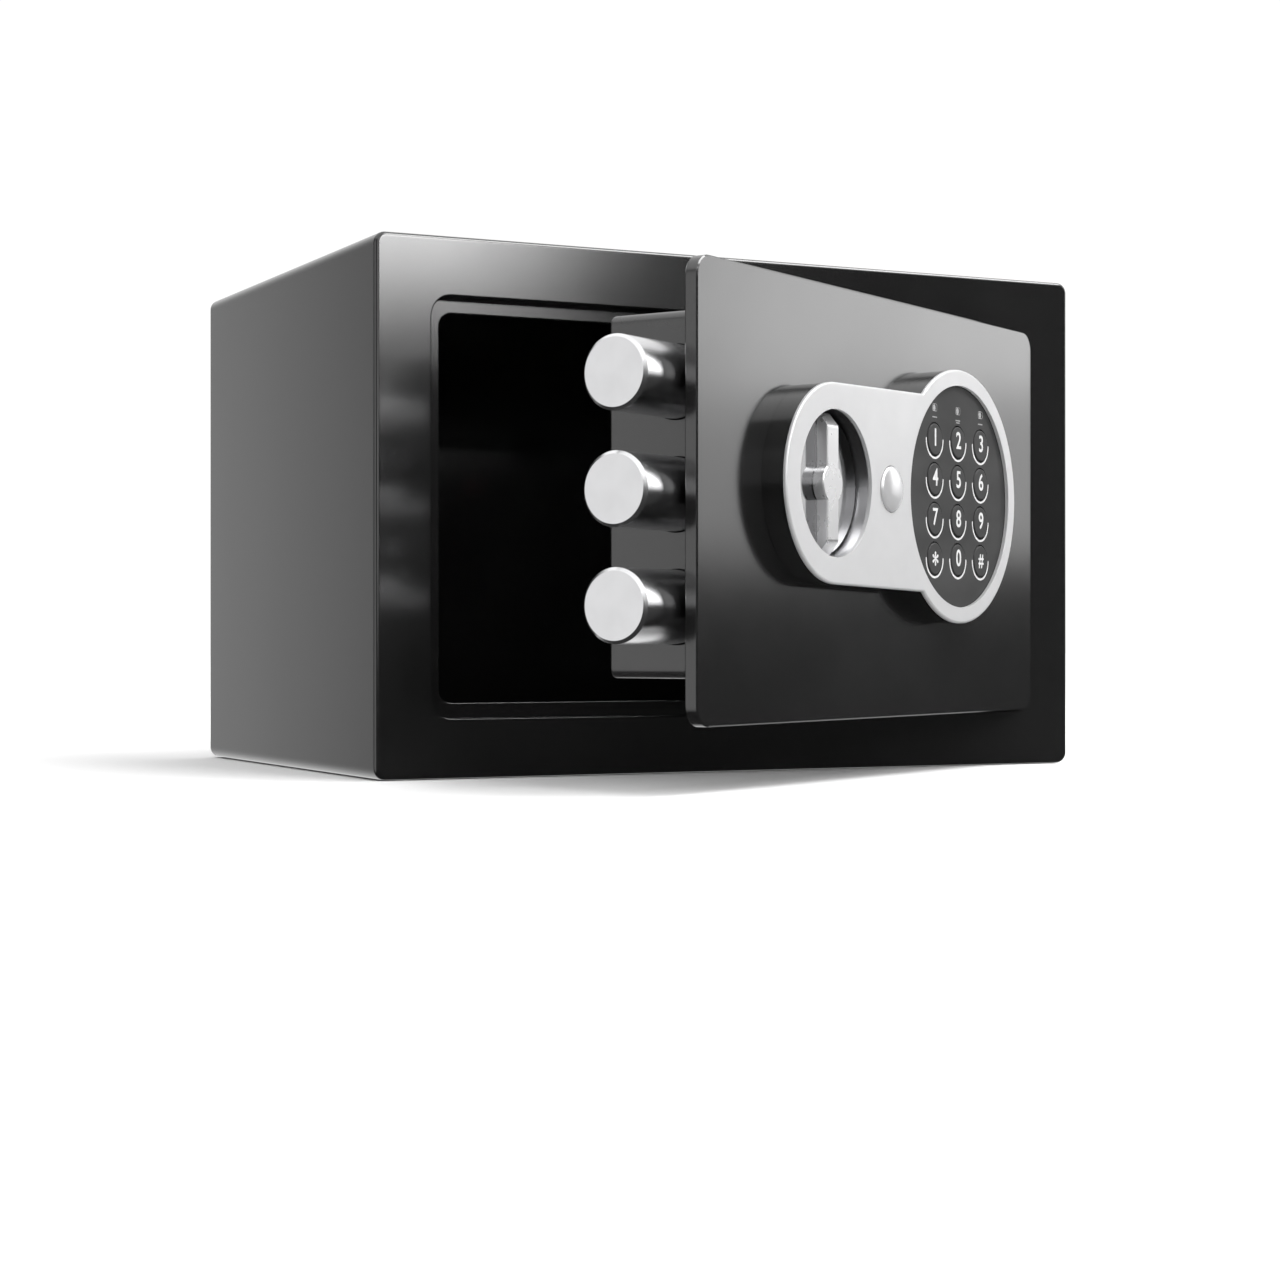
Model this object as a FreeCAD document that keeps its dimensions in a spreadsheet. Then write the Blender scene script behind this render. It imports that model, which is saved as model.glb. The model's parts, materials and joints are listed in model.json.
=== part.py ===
"""Compact electronic safe with a swinging door, three round bolts, a turn knob and a keypad.

Millimetres. The origin is the centre of the cabinet's base, +Z is up, +X is to the right of
someone facing the safe and +Y points to its back. The door is drawn closed, in a frame of its
own, and then swung open about the hinge pins:

    X   from the door's free edge towards its hinge edge
    Y   from the door's front face into the safe
    Z   up, from the door's mid-height
"""
import FreeCAD, Part
import math
import os
import Sketcher

DOC = FreeCAD.newDocument("electronic_safe")
SHEET = DOC.addObject("Spreadsheet::Sheet", "dims")
NODES = []
TOUCH = 0.001


class Size:
    """A length or an angle that knows its number and the expression it comes from."""

    def __init__(self, text, number):
        self.text = text
        self.number = number

    @staticmethod
    def of(item):
        return item if isinstance(item, Size) else Size(repr(float(item)), float(item))

    def join(self, other, sign, number):
        return Size(f"({self.text} {sign} {other.text})", number)

    def __add__(self, other):
        other = Size.of(other)
        return self.join(other, "+", self.number + other.number)

    def __sub__(self, other):
        other = Size.of(other)
        return self.join(other, "-", self.number - other.number)

    def __mul__(self, other):
        other = Size.of(other)
        return self.join(other, "*", self.number * other.number)

    def __truediv__(self, other):
        other = Size.of(other)
        return self.join(other, "/", self.number / other.number)

    def __neg__(self):
        return self * -1

    def __radd__(self, other):
        return Size.of(other) + self

    def __rsub__(self, other):
        return Size.of(other) - self

    def __rmul__(self, other):
        return Size.of(other) * self


def sine(angle):
    return Size(f"sin({angle.text} * 1deg)", math.sin(math.radians(angle.number)))


def cosine(angle):
    return Size(f"cos({angle.text} * 1deg)", math.cos(math.radians(angle.number)))


def dim(alias, number, note):
    """Put one driving dimension in the sheet and hand it back as a Size."""
    row = dim.row = getattr(dim, "row", 0) + 1
    SHEET.set(f"A{row}", note)
    SHEET.set(f"B{row}", str(number))
    SHEET.setAlias(f"B{row}", alias)
    return Size(f"dims.{alias}", float(number))


def bind(item, prop, size):
    item.setExpression(prop, Size.of(size).text)


# ---------------------------------------------------------------- driving dimensions
# Cabinet
width = dim("cabinet_width", 306, "outside, side to side")
depth = dim("cabinet_depth", 208, "outside, front to back")
height = dim("cabinet_height", 200, "outside, floor to top")
wall = dim("wall", 1.6, "sheet of the four walls")
front_sheet = dim("front_sheet", 1.9, "sheet of the front border")
back_sheet = dim("back_sheet", 2, "back panel")
body_radius = dim("body_radius", 4.3, "long outer edges")
front_radius = dim("front_radius", 1.7, "edge between border and walls")
border = dim("border", 22, "front border, left, top and bottom")
hinge_border = dim("hinge_border", 20.4, "front border on the hinge side")
opening_radius = dim("opening_radius", 8, "corners of the opening")
opening_edge = dim("opening_edge", 0.5, "rounded front edge of the opening")
anchor_radius = dim("anchor_radius", 5, "anchor bolt hole")
anchor_spacing = dim("anchor_spacing", 180, "anchor holes, centre to centre")
mat_thickness = dim("mat_thickness", 2, "loose felt mat")
mat_gap = dim("mat_gap", 3, "mat to walls, and mat to anchor holes")
mat_radius = dim("mat_radius", 6, "mat corners")
# Door
door_gap = dim("door_gap", 0.45, "door to opening, free edge, top and bottom")
hinge_gap = dim("hinge_gap", 2.75, "door to opening on the hinge side")
door_sheet = dim("door_sheet", 5, "door plate")
door_inset = dim("door_inset", 1.6, "closed door behind the front plane")
door_radius = dim("door_radius", 7.6, "door corners")
door_chamfer = dim("door_chamfer", 0.5, "chamfer round the door plate")
open_angle = dim("open_angle", 30.5, "how far the door stands open")
stop_gap = dim("stop_gap", 0.4, "closed door to its stop")
stop_sheet = dim("stop_sheet", 1, "sheet of the door stop")
stop_width = dim("stop_width", 5.7, "face of the door stop")
stop_radius = dim("stop_radius", 5, "inner corners of the door stop")
stop_edge = dim("stop_edge", 0.45, "rounded inner edge of the door stop")
stop_end = dim("stop_end", 8.7, "door stop's ends from the opening's hinge side")
# Hinges
pin_radius = dim("pin_radius", 1.6, "hinge pin")
pin_lip = dim("pin_lip", 1, "pin head beyond the pin")
pin_head = dim("pin_head", 1.2, "pin head, along the pin")
knuckle_radius = dim("knuckle_radius", 3, "knuckle round the pin")
hinge_reach = dim("hinge_reach", 9.15, "door edge to pin axis, across")
hinge_back = dim("hinge_back", 3.6, "door front face to pin axis, back")
lug_lip = dim("lug_lip", 1, "lug behind the knuckle")
arm_sheet = dim("arm_sheet", 3, "hinge arm and lugs")
arm_height = dim("arm_height", 14, "hinge arm, along the pin")
arm_crank = dim("arm_crank", 8.6, "pin axis to inside of the crank")
arm_lean = dim("arm_lean", 1, "arm's root beyond the pin axis")
arm_foot = dim("arm_foot", 18, "foot of the arm, welded to the door plate")
arm_bend = dim("arm_bend", 2.5, "outer bends of the arm")
hinge_drop = dim("hinge_drop", 55, "hinge centres above and below mid-height")
run_gap = dim("run_gap", 0.05, "radial clearance of a running fit")
side_gap = dim("side_gap", 0.35, "clearance between moving neighbours")
# Bolts and bolt bar
bolt_radius = dim("bolt_radius", 12.5, "locking bolt")
bolt_pitch = dim("bolt_pitch", 37.8, "bolt to bolt")
bolt_throw = dim("bolt_throw", 20, "thrown bolt beyond the door's edge")
bolt_travel = dim("bolt_travel", 20.5, "slide of the bolt bar")
bolt_back = dim("bolt_back", 30, "rear of the bolts from the case's end")
bolt_chamfer = dim("bolt_chamfer", 1.1, "bolt nose")
bolt_clear = dim("bolt_clear", 0.4, "bolt to the back of the stop")
tap_depth = dim("tap_depth", 12, "tapped hole in bolts and posts")
bolt_screw = dim("bolt_screw", 3, "radius of the screws that hold the bolts")
bar_sheet = dim("bar_sheet", 3, "flange of the bolt bar")
bar_trim = dim("bar_trim", 0.5, "flange short of the bolts' back")
web_sheet = dim("web_sheet", 2, "web of the bolt bar")
web_rise = dim("web_rise", 6.5, "door plate to web")
web_foot = dim("web_foot", 2.5, "web's low edge above the knob axis")
web_step = dim("web_step", 9, "web's tail above the knob axis")
web_rim = dim("web_rim", 4.2, "web above the cam slot")
web_tail = dim("web_tail", 5.5, "web past the plunger notches")
web_relief = dim("web_relief", 4, "step in the web before the knob's travel ends")
guide_place = dim("guide_place", 15, "bar guide past the plunger axis")
guide_length = dim("guide_length", 6, "bar guide, along the bar")
guide_wall = dim("guide_wall", 5, "bar guide above and below the bar")
guide_cap = dim("guide_cap", 3, "bar guide over the bar")
# Lock case
case_inset = dim("case_inset", 17.9, "door's free edge to case")
case_length = dim("case_length", 204, "case, along the door")
case_height = dim("case_height", 124, "case, up and down")
case_depth = dim("case_depth", 41.5, "case, behind the door plate")
case_sheet = dim("case_sheet", 1.5, "case sheet")
case_bend = dim("case_bend", 1.2, "rounded back edges of the case")
inner_radius = dim("inner_radius", 2, "inside corners of the case and its cutouts")
post_radius = dim("post_radius", 3, "case post")
post_gap = dim("post_gap", 1, "post to case wall")
near_post = dim("near_post", 14, "posts from the case's bolt end")
far_post = dim("far_post", 10, "posts from the case's hinge end")
case_screw = dim("case_screw", 1.6, "radius of the case screws")
case_screw_head = dim("case_screw_head", 1.9, "height of the case screw heads")
rib_gap = dim("rib_gap", 18, "cover's grip ribs from its ends")
rib_pitch = dim("rib_pitch", 3, "rib to rib")
rib_width = dim("rib_width", 1.4, "grip rib")
rib_rise = dim("rib_rise", 0.6, "grip rib above the cover")
# Knob and cam
knob_x = dim("knob_x", 76.2, "knob axis from the door's free edge")
panel_z = dim("panel_z", 5.8, "knob, lock and keypad above mid-height")
cup_radius = dim("cup_radius", 25.9, "finger cup")
cup_floor = dim("cup_floor", 0.7, "floor of the finger cup")
cup_wall = dim("cup_wall", 1.1, "wall of the finger cup")
knob_gap = dim("knob_gap", 0.5, "knob to finger cup")
knob_lift = dim("knob_lift", 1.3, "back of the knob from the door")
knob_base = dim("knob_base", 2.7, "round base of the knob")
knob_edge = dim("knob_edge", 1.1, "rounded edge of the knob's base")
grip_width = dim("grip_width", 8.1, "knob's grip bar")
grip_height = dim("grip_height", 4.5, "grip bar above the base")
grip_inset = dim("grip_inset", 0.6, "grip's ends inside the base's edge")
grip_slope = dim("grip_slope", 4.8, "sloped ends of the grip, along it")
grip_foot = dim("grip_foot", 0.7, "upright foot of the sloped ends")
grip_chamfer = dim("grip_chamfer", 0.4, "edges of the grip")
boss_radius = dim("boss_radius", 7.05, "boss in the middle of the grip")
spindle_radius = dim("spindle_radius", 4, "knob spindle")
spindle_socket = dim("spindle_socket", 1.5, "spindle in the grip, past the base")
bush_wall = dim("bush_wall", 2, "spindle bush")
cam_lift = dim("cam_lift", 0.5, "door plate to cam")
cam_sheet = dim("cam_sheet", 3, "drive cam")
cam_pin = dim("cam_pin", 2.5, "radius of the cam's pin")
cam_rim = dim("cam_rim", 1.9, "cam round its pin")
cam_hub = dim("cam_hub", 3.1, "cam round the spindle")
pin_slack = dim("pin_slack", 0.65, "cam pin to the bar's slot")
pin_proud = dim("pin_proud", 0.8, "cam pin past the web")
clip_gap = dim("clip_gap", 0.4, "spindle clip behind the cam")
clip_sheet = dim("clip_sheet", 0.8, "spindle clip")
clip_rim = dim("clip_rim", 2.6, "spindle clip round the spindle")
spindle_end = dim("spindle_end", 1.1, "spindle past its clip")
# Keypad
panel_height = dim("panel_height", 10, "face plate's front above the door")
plate_sheet = dim("plate_sheet", 1.4, "face plate")
plate_edge = dim("plate_edge", 0.84, "rounded edge of the face plate")
housing_step = dim("housing_step", 0.3, "housing inside the face plate's edge")
ring_x = dim("ring_x", 174.6, "keypad centre from the door's free edge")
ring_radius = dim("ring_radius", 48.4, "outside of the keypad ring")
arch_radius = dim("arch_radius", 35.3, "outside round the knob")
waist = dim("waist", 36.8, "half height where bar and ring meet")
waist_reach = dim("waist_reach", 30.6, "keypad centre to where bar and ring meet")
disc_radius = dim("disc_radius", 42.3, "keypad disc")
disc_sink = dim("disc_sink", 1.5, "disc below the face plate's front")
disc_sheet = dim("disc_sheet", 1.5, "keypad disc")
disc_gap = dim("disc_gap", 0.1, "disc to face plate")
disc_seat = dim("disc_seat", 2, "ledge under the disc's edge")
well_gap = dim("well_gap", 0.2, "housing's well round the disc")
well_floor = dim("well_floor", 1.2, "floor of the housing's well")
key_radius = dim("key_radius", 6, "key")
key_gap = dim("key_gap", 0.45, "key to its hole")
key_proud = dim("key_proud", 0.35, "key above the disc")
key_edge = dim("key_edge", 0.5, "rounded edge of a key")
key_collar = dim("key_collar", 1, "collar beyond the key")
collar_gap = dim("collar_gap", 0.3, "key collar behind the disc")
collar_sheet = dim("collar_sheet", 0.7, "key collar")
key_columns = dim("key_columns", 19.7, "key pitch across")
key_rows = dim("key_rows", 14.95, "key pitch up and down")
key_drop = dim("key_drop", 1.7, "key block below the disc's centre")
key_travel = dim("key_travel", 1.2, "key travel")
switch_room = dim("switch_room", 2.2, "keys at full travel to keypad board")
lamp_rise = dim("lamp_rise", 32.7, "status lamps above the disc's centre")
lamp_radius = dim("lamp_radius", 1.3, "status lamp")
lamp_sink = dim("lamp_sink", 0.15, "lamps below the disc's face")
panel_screw = dim("panel_screw", 2, "radius of the housing screws")
panel_screw_depth = dim("panel_screw_depth", 6, "screws into the housing")
panel_screw_head = dim("panel_screw_head", 2.2, "height of the housing screw heads")
panel_screw_x = dim("panel_screw_x", 98, "middle housing screws from the door's free edge")
panel_screw_rise = dim("panel_screw_rise", 26, "middle housing screws above and below the knob")
head_ratio = 1.75
# Override lock
lock_x = dim("lock_x", 117, "override lock from the door's free edge")
barrel_radius = dim("barrel_radius", 6.8, "lock barrel")
barrel_back = dim("barrel_back", 3.6, "barrel behind the door plate")
lock_sink = dim("lock_sink", 0.1, "lock face below the keypad disc's")
nut_radius = dim("nut_radius", 8.6, "lock nut, across corners")
nut_sheet = dim("nut_sheet", 2.6, "lock nut")
plug_radius = dim("plug_radius", 3.95, "lock plug")
tail_gap = dim("tail_gap", 0.2, "tail bar behind the barrel")
tail_sheet = dim("tail_sheet", 1.3, "tail bar")
tail_width = dim("tail_width", 6, "tail bar")
tail_length = dim("tail_length", 11, "plug axis to the tail bar's tip")
slit_width = dim("slit_width", 1.2, "key slit")
slit_height = dim("slit_height", 5.2, "key slit")
slit_depth = dim("slit_depth", 6, "key slit")
cover_radius = dim("cover_radius", 8.3, "domed cover over the lock")
cover_gap = dim("cover_gap", 0.2, "cover to face plate and to lock")
cover_dome = dim("cover_dome", 2, "cover above the face plate")
cover_edge = dim("cover_edge", 1.9, "rounded edge of the cover")
# Solenoid
coil_x = dim("coil_x", 112, "plunger axis from the door's free edge")
coil_radius = dim("coil_radius", 5.9, "coil")
coil_room = dim("coil_room", 3.8, "coil to the frame's outside")
coil_cap = dim("coil_cap", 1, "closed end of the coil's bore")
frame_sheet = dim("frame_sheet", 1.6, "solenoid frame")
frame_gap = dim("frame_gap", 2.5, "solenoid frame below the case wall")
plunger_radius = dim("plunger_radius", 3.9, "plunger")
plunger_travel = dim("plunger_travel", 6, "plunger travel")
plunger_gap = dim("plunger_gap", 0.8, "plunger to the bolt bar and its notches")
plunger_head = dim("plunger_head", 3.7, "plunger's top below the solenoid frame's")
collar_lift = dim("collar_lift", 0.5, "dropped plunger's collar above the bolt bar")
plunger_collar = dim("plunger_collar", 1, "plunger's collar")
collar_rim = dim("collar_rim", 1.9, "collar round the plunger")
spring_length = dim("spring_length", 5.5, "plunger spring, plunger drawn in")
spring_wire = dim("spring_wire", 0.4, "radius of the plunger spring's wire")
spring_gap = dim("spring_gap", 0.7, "spring to plunger")
# Power and control
cell_radius = dim("cell_radius", 7.2, "battery")
cell_length = dim("cell_length", 50.5, "battery")
cell_pitch = dim("cell_pitch", 14.6, "battery to battery")
cell_cap = dim("cell_cap", 1.2, "battery's positive cap")
cell_cap_radius = dim("cell_cap_radius", 2.7, "battery's positive cap")
bay_inset = dim("bay_inset", 74, "battery bay and control board from the case's hinge end")
bay_room = dim("bay_room", 8.5, "bay longer than a battery")
bay_slack = dim("bay_slack", 2.6, "bay taller than the batteries")
bay_gap = dim("bay_gap", 0.5, "battery box to case wall")
bay_depth = dim("bay_depth", 20.4, "battery box, front to back")
bay_cover_gap = dim("bay_cover_gap", 0.1, "battery box to case back")
box_wall = dim("box_wall", 1.2, "battery box wall")
cell_lift = dim("cell_lift", 0.3, "battery above the box's floor")
contact_sheet = dim("contact_sheet", 1.6, "battery contact")
contact_inset = dim("contact_inset", 2.2, "contact smaller than the battery")
board_sheet = dim("board_sheet", 1.6, "circuit boards")
board_length = dim("board_length", 60, "control board")
board_lift = dim("board_lift", 11, "control board to case back")
board_low = dim("board_low", 4.2, "control board above the knob axis")
board_top = dim("board_top", 5.5, "control board below the case's top")
board_inset = dim("board_inset", 4, "standoffs from the board's edges")
standoff_radius = dim("standoff_radius", 2.8, "board standoff")
socket_size = dim("socket_size", 8, "cable socket")
socket_rise = dim("socket_rise", 4.5, "cable socket above the board")
socket_low = dim("socket_low", 6, "cable socket above the board's low edge")
chip_size = dim("chip_size", 12, "controller chip")
chip_rise = dim("chip_rise", 2, "controller chip above the board")
chip_low = dim("chip_low", 20, "controller chip above the board's low edge")
driver_size = dim("driver_size", 7, "coil driver")
driver_rise = dim("driver_rise", 1.6, "coil driver above the board")
driver_inset = dim("driver_inset", 30, "coil driver from the board's end")
cable_radius = dim("cable_radius", 1.5, "keypad cable")
cable_room = dim("cable_room", 2.5, "cable to its hole in the door")
cable_bend = dim("cable_bend", 8, "bend of the keypad cable")
button_radius = dim("button_radius", 3, "reset button")
button_inset = dim("button_inset", 26, "reset button from the case's hinge end")
button_drop = dim("button_drop", 27, "reset button below the case's top")
button_proud = dim("button_proud", 1, "reset button past the case back")
button_edge = dim("button_edge", 0.4, "rounded edge of the reset button")
button_collar = dim("button_collar", 1.6, "collar beyond the reset button")
button_room = dim("button_room", 0.4, "collar behind the case back")
button_switch = dim("button_switch", 1.4, "switch under the reset button")
button_float = dim("button_float", 1.8, "reset button above its switch")
DOC.recompute()

# ---------------------------------------------------------------- places, worked out
front = depth / -2
back = depth / 2
opening_left = border - width / 2
opening_right = width / 2 - hinge_border
door_left = opening_left + door_gap
door_width = opening_right - hinge_gap - door_left
door_height = height - border * 2 - door_gap * 2
door_front = front + door_inset
stop_front = door_front + door_sheet + stop_gap
stop_right = opening_right - stop_end
hinge_x = opening_right - hinge_gap + hinge_reach
hinge_y = door_front + hinge_back
middle = height / 2
pin_x = door_width + hinge_reach
bolt_y = door_sheet + stop_gap + stop_sheet + bolt_clear + bolt_radius
bolt_rear = case_inset + bolt_back
case_back = door_sheet + case_depth
case_right = case_inset + case_length
half_case = case_height / 2
shell_back = case_back - case_sheet
web_y = door_sheet + web_rise
cam_y = door_sheet + cam_lift
half_throw = bolt_travel / 2
cam_arm = half_throw / cosine(Size.of(45))
slot_x = knob_x - half_throw
web_top = panel_z + cam_arm + cam_pin + web_rim
plate_back = plate_sheet - panel_height
disc_front = disc_sink - panel_height
disc_back = disc_front + disc_sheet
well_radius = disc_radius + well_gap
board_y = disc_back + key_travel + switch_room
lock_face = disc_front + lock_sink
button_x = case_right - button_inset
button_z = half_case - button_drop
control_y = shell_back - board_lift


# ---------------------------------------------------------------- drawing helpers
class Rect:
    """Rectangle between two corners, with round corners when a radius is given."""

    def __init__(self, x0, x1, y0, y1, radius=None):
        self.x0, self.x1, self.y0, self.y1 = (Size.of(item) for item in (x0, x1, y0, y1))
        self.radius = None if radius is None else Size.of(radius)

    def draw(self, sketch):
        inset = self.radius or Size.of(0)
        x0, x1, y0, y1, r = (item.number for item in (self.x0, self.x1, self.y0, self.y1, inset))
        ends = [((x0 + r, y0), (x1 - r, y0)), ((x1, y0 + r), (x1, y1 - r)),
                ((x1 - r, y1), (x0 + r, y1)), ((x0, y1 - r), (x0, y0 + r))]
        lines = [sketch.addGeometry(Part.LineSegment(FreeCAD.Vector(*a, 0), FreeCAD.Vector(*b, 0)))
                 for a, b in ends]
        for index, line in enumerate(lines):
            rule("Vertical" if index % 2 else "Horizontal", sketch, line)
        if self.radius is None:
            for index, line in enumerate(lines):
                rule("Coincident", sketch, line, 2, lines[(index + 1) % 4], 1)
        else:
            centres = [(x1 - r, y0 + r), (x1 - r, y1 - r), (x0 + r, y1 - r), (x0 + r, y0 + r)]
            arcs = []
            for index, (cx, cy) in enumerate(centres):
                circle = Part.Circle(FreeCAD.Vector(cx, cy, 0), FreeCAD.Vector(0, 0, 1), r)
                start = (index - 1) * math.pi / 2
                arcs.append(sketch.addGeometry(Part.ArcOfCircle(circle, start, start + math.pi / 2)))
            for index, arc in enumerate(arcs):
                rule("Tangent", sketch, lines[index], 2, arc, 1)
                rule("Tangent", sketch, arc, 2, lines[(index + 1) % 4], 1)
                if index:
                    rule("Equal", sketch, arcs[0], arc)
            rule("Radius", sketch, arcs[0], size=self.radius)
        rule("DistanceY", sketch, -1, 1, lines[0], 1, size=self.y0)
        rule("DistanceX", sketch, -1, 1, lines[1], 1, size=self.x1)
        rule("DistanceY", sketch, -1, 1, lines[2], 1, size=self.y1)
        rule("DistanceX", sketch, -1, 1, lines[3], 1, size=self.x0)


class Disc:
    """Circle about a point."""

    def __init__(self, x, y, radius):
        self.x, self.y, self.radius = Size.of(x), Size.of(y), Size.of(radius)

    def draw(self, sketch):
        centre = FreeCAD.Vector(self.x.number, self.y.number, 0)
        circle = sketch.addGeometry(Part.Circle(centre, FreeCAD.Vector(0, 0, 1), self.radius.number))
        rule("DistanceX", sketch, -1, 1, circle, 3, size=self.x)
        rule("DistanceY", sketch, -1, 1, circle, 3, size=self.y)
        rule("Radius", sketch, circle, size=self.radius)


class Poly:
    """Closed outline of straight lines through named points."""

    def __init__(self, *points):
        self.points = [(Size.of(x), Size.of(y)) for x, y in points]

    def draw(self, sketch):
        spots = [FreeCAD.Vector(x.number, y.number, 0) for x, y in self.points]
        lines = [sketch.addGeometry(Part.LineSegment(a, b))
                 for a, b in zip(spots, spots[1:] + spots[:1])]
        for index, line in enumerate(lines):
            rule("Coincident", sketch, line, 2, lines[(index + 1) % len(lines)], 1)
            rule("DistanceX", sketch, -1, 1, line, 1, size=self.points[index][0])
            rule("DistanceY", sketch, -1, 1, line, 1, size=self.points[index][1])


def rule(kind, sketch, *elements, size=None):
    """Add one constraint, bound to a size when it has one."""
    if size is None:
        sketch.addConstraint(Sketcher.Constraint(kind, *elements))
        return
    index = sketch.addConstraint(Sketcher.Constraint(kind, *elements, size.number))
    sketch.setExpression(f"Constraints[{index}]", size.text)


class Piece:
    """A PartDesign body with a name, built up from pads and pockets.

    Every pad and pocket starts at a place along the axis that its plane faces and runs
    towards that axis's positive end.
    """

    def __init__(self, name, on_door=False):
        self.body = DOC.addObject("PartDesign::Body", name)
        self.body.Label = name
        NODES.append(self.body)
        if on_door:
            swing(self.body)

    def sketch(self, plane, start, shapes):
        origin = next(item for item in self.body.Origin.OriginFeatures if item.Role == plane + "_Plane")
        sketch = self.body.newObject("Sketcher::SketchObject", "outline")
        sketch.AttachmentSupport = [(origin, "")]
        sketch.MapMode = "FlatFace"
        bind(sketch, "AttachmentOffset.Base.z", -Size.of(start) if plane == "XZ" else start)
        for shape in shapes:
            shape.draw(sketch)
        return sketch

    def feature(self, kind, plane, start, length, shapes):
        sketch = self.sketch(plane, start, shapes)
        feature = self.body.newObject("PartDesign::" + kind, kind.lower())
        feature.Profile = sketch
        bind(feature, "Length", length)
        feature.Reversed = (plane == "XZ") == (kind == "Pad")
        return feature

    def pad(self, plane, start, length, *shapes):
        self.feature("Pad", plane, start, length, shapes)
        DOC.recompute()
        return self

    def pocket(self, plane, start, length, *shapes):
        before = self.body.Shape.Volume
        self.feature("Pocket", plane, start, length, shapes)
        DOC.recompute()
        if self.body.Shape.Volume >= before:
            raise ValueError(f"a pocket of {self.body.Label} removes nothing")
        return self

    def dress(self, kind, size, wanted):
        tip = self.body.Tip
        names = [f"Edge{index + 1}" for index, edge in enumerate(tip.Shape.Edges) if wanted(edge)]
        if not names:
            raise ValueError(f"no edge of {self.body.Label} to dress")
        feature = self.body.newObject("PartDesign::" + kind, kind.lower())
        feature.Base = (tip, names)
        bind(feature, "Radius" if kind == "Fillet" else "Size", size)
        DOC.recompute()
        return self

    def fillet(self, radius, wanted):
        return self.dress("Fillet", radius, wanted)

    def chamfer(self, size, wanted):
        return self.dress("Chamfer", size, wanted)


def swing(item):
    """Carry a door piece from the door's own frame to where the open door stands."""
    item.Placement.Rotation = FreeCAD.Rotation(FreeCAD.Vector(0, 0, 1), 1)
    along, across = pin_x, hinge_back
    bind(item, "Placement.Rotation.Angle", open_angle)
    bind(item, "Placement.Base.x", hinge_x - along * cosine(open_angle) + across * sine(open_angle))
    bind(item, "Placement.Base.y", hinge_y - along * sine(open_angle) - across * cosine(open_angle))
    bind(item, "Placement.Base.z", middle)


def on_plane(axis, size):
    """Say whether an edge lies wholly at one place along an axis."""
    place = Size.of(size).number

    def test(edge):
        box = edge.BoundBox
        low, high = getattr(box, axis + "Min"), getattr(box, axis + "Max")
        return abs(low - place) < TOUCH and abs(high - place) < TOUCH
    return test


def within(axis, low, high):
    """Say whether an edge stays between two places along an axis."""
    low, high = Size.of(low).number, Size.of(high).number

    def test(edge):
        box = edge.BoundBox
        return getattr(box, axis + "Min") > low - TOUCH and getattr(box, axis + "Max") < high + TOUCH
    return test


def in_window(left, right, low, high):
    """Say whether an edge stays inside an upright window."""
    across, upright = within("X", left, right), within("Z", low, high)
    return lambda edge: across(edge) and upright(edge)


def upright_at(*spots):
    """Say whether an edge runs up through one of some places seen from above."""
    places = [(Size.of(x).number, Size.of(y).number) for x, y in spots]
    return lambda edge: edge.BoundBox.ZLength > TOUCH and any(
        math.hypot(edge.BoundBox.XMin - x, edge.BoundBox.YMin - y) < TOUCH for x, y in places)


def both(first, second):
    return lambda edge: first(edge) and second(edge)


def first_not_second(first, second):
    return lambda edge: first(edge) and not second(edge)


# ---------------------------------------------------------------- cabinet
def make_cabinet():
    half = width / 2
    opening = Rect(opening_left, opening_right, border, height - border, opening_radius)
    inside = Rect(wall - half, half - wall, wall, height - wall, body_radius - wall)
    anchors = [anchor_spacing / -2, anchor_spacing / 2]
    shell = Piece("body_shell")
    shell.pad("XZ", front, depth, Rect(-half, half, 0, height, body_radius))
    shell.pocket("XZ", front + front_sheet, depth - front_sheet, inside)
    shell.pocket("XZ", front, front_sheet, opening)
    shell.pocket("XY", 0, wall, *[Disc(x, 0, anchor_radius) for x in anchors])
    on_front = on_plane("Y", front)
    round_opening = in_window(opening_left, opening_right, border, height - border)
    shell.fillet(front_radius, first_not_second(on_front, round_opening))
    shell.fillet(opening_edge, both(on_front, round_opening))
    panel = Piece("back_panel")
    panel.pad("XZ", back - back_sheet, back_sheet, inside,
              *[Disc(x, middle, anchor_radius) for x in anchors])
    make_door_stop(opening)
    mat = Piece("floor_mat")
    mat.pad("XY", wall, mat_thickness,
            Rect(wall + mat_gap - half, half - wall - mat_gap,
                 stop_front + stop_sheet + mat_gap, back - back_sheet - mat_gap, mat_radius),
            *[Disc(x, 0, anchor_radius + mat_gap) for x in anchors])


def make_door_stop(opening):
    """Frame behind the opening, on three sides; the hinge side stays free for the arms."""
    ring = Rect(opening_left - stop_sheet, opening_right + stop_sheet,
                border - stop_sheet, height - border + stop_sheet, opening_radius + stop_sheet)
    left, low, high = opening_left + stop_width, border + stop_width, height - border - stop_width
    inner = Rect(left, opening_right - stop_width, low, high, stop_radius)
    root = front + front_sheet
    stop = Piece("door_stop")
    stop.pad("XZ", root, stop_front - root, ring, opening)
    stop.pad("XZ", stop_front, stop_sheet, ring, inner)
    stop.pocket("XZ", root, stop_front + stop_sheet - root,
                Rect(stop_right, opening_right + stop_sheet * 2, 0, height))
    stop.fillet(stop_edge, both(on_plane("Y", stop_front), in_window(left, stop_right, low, high)))


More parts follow.
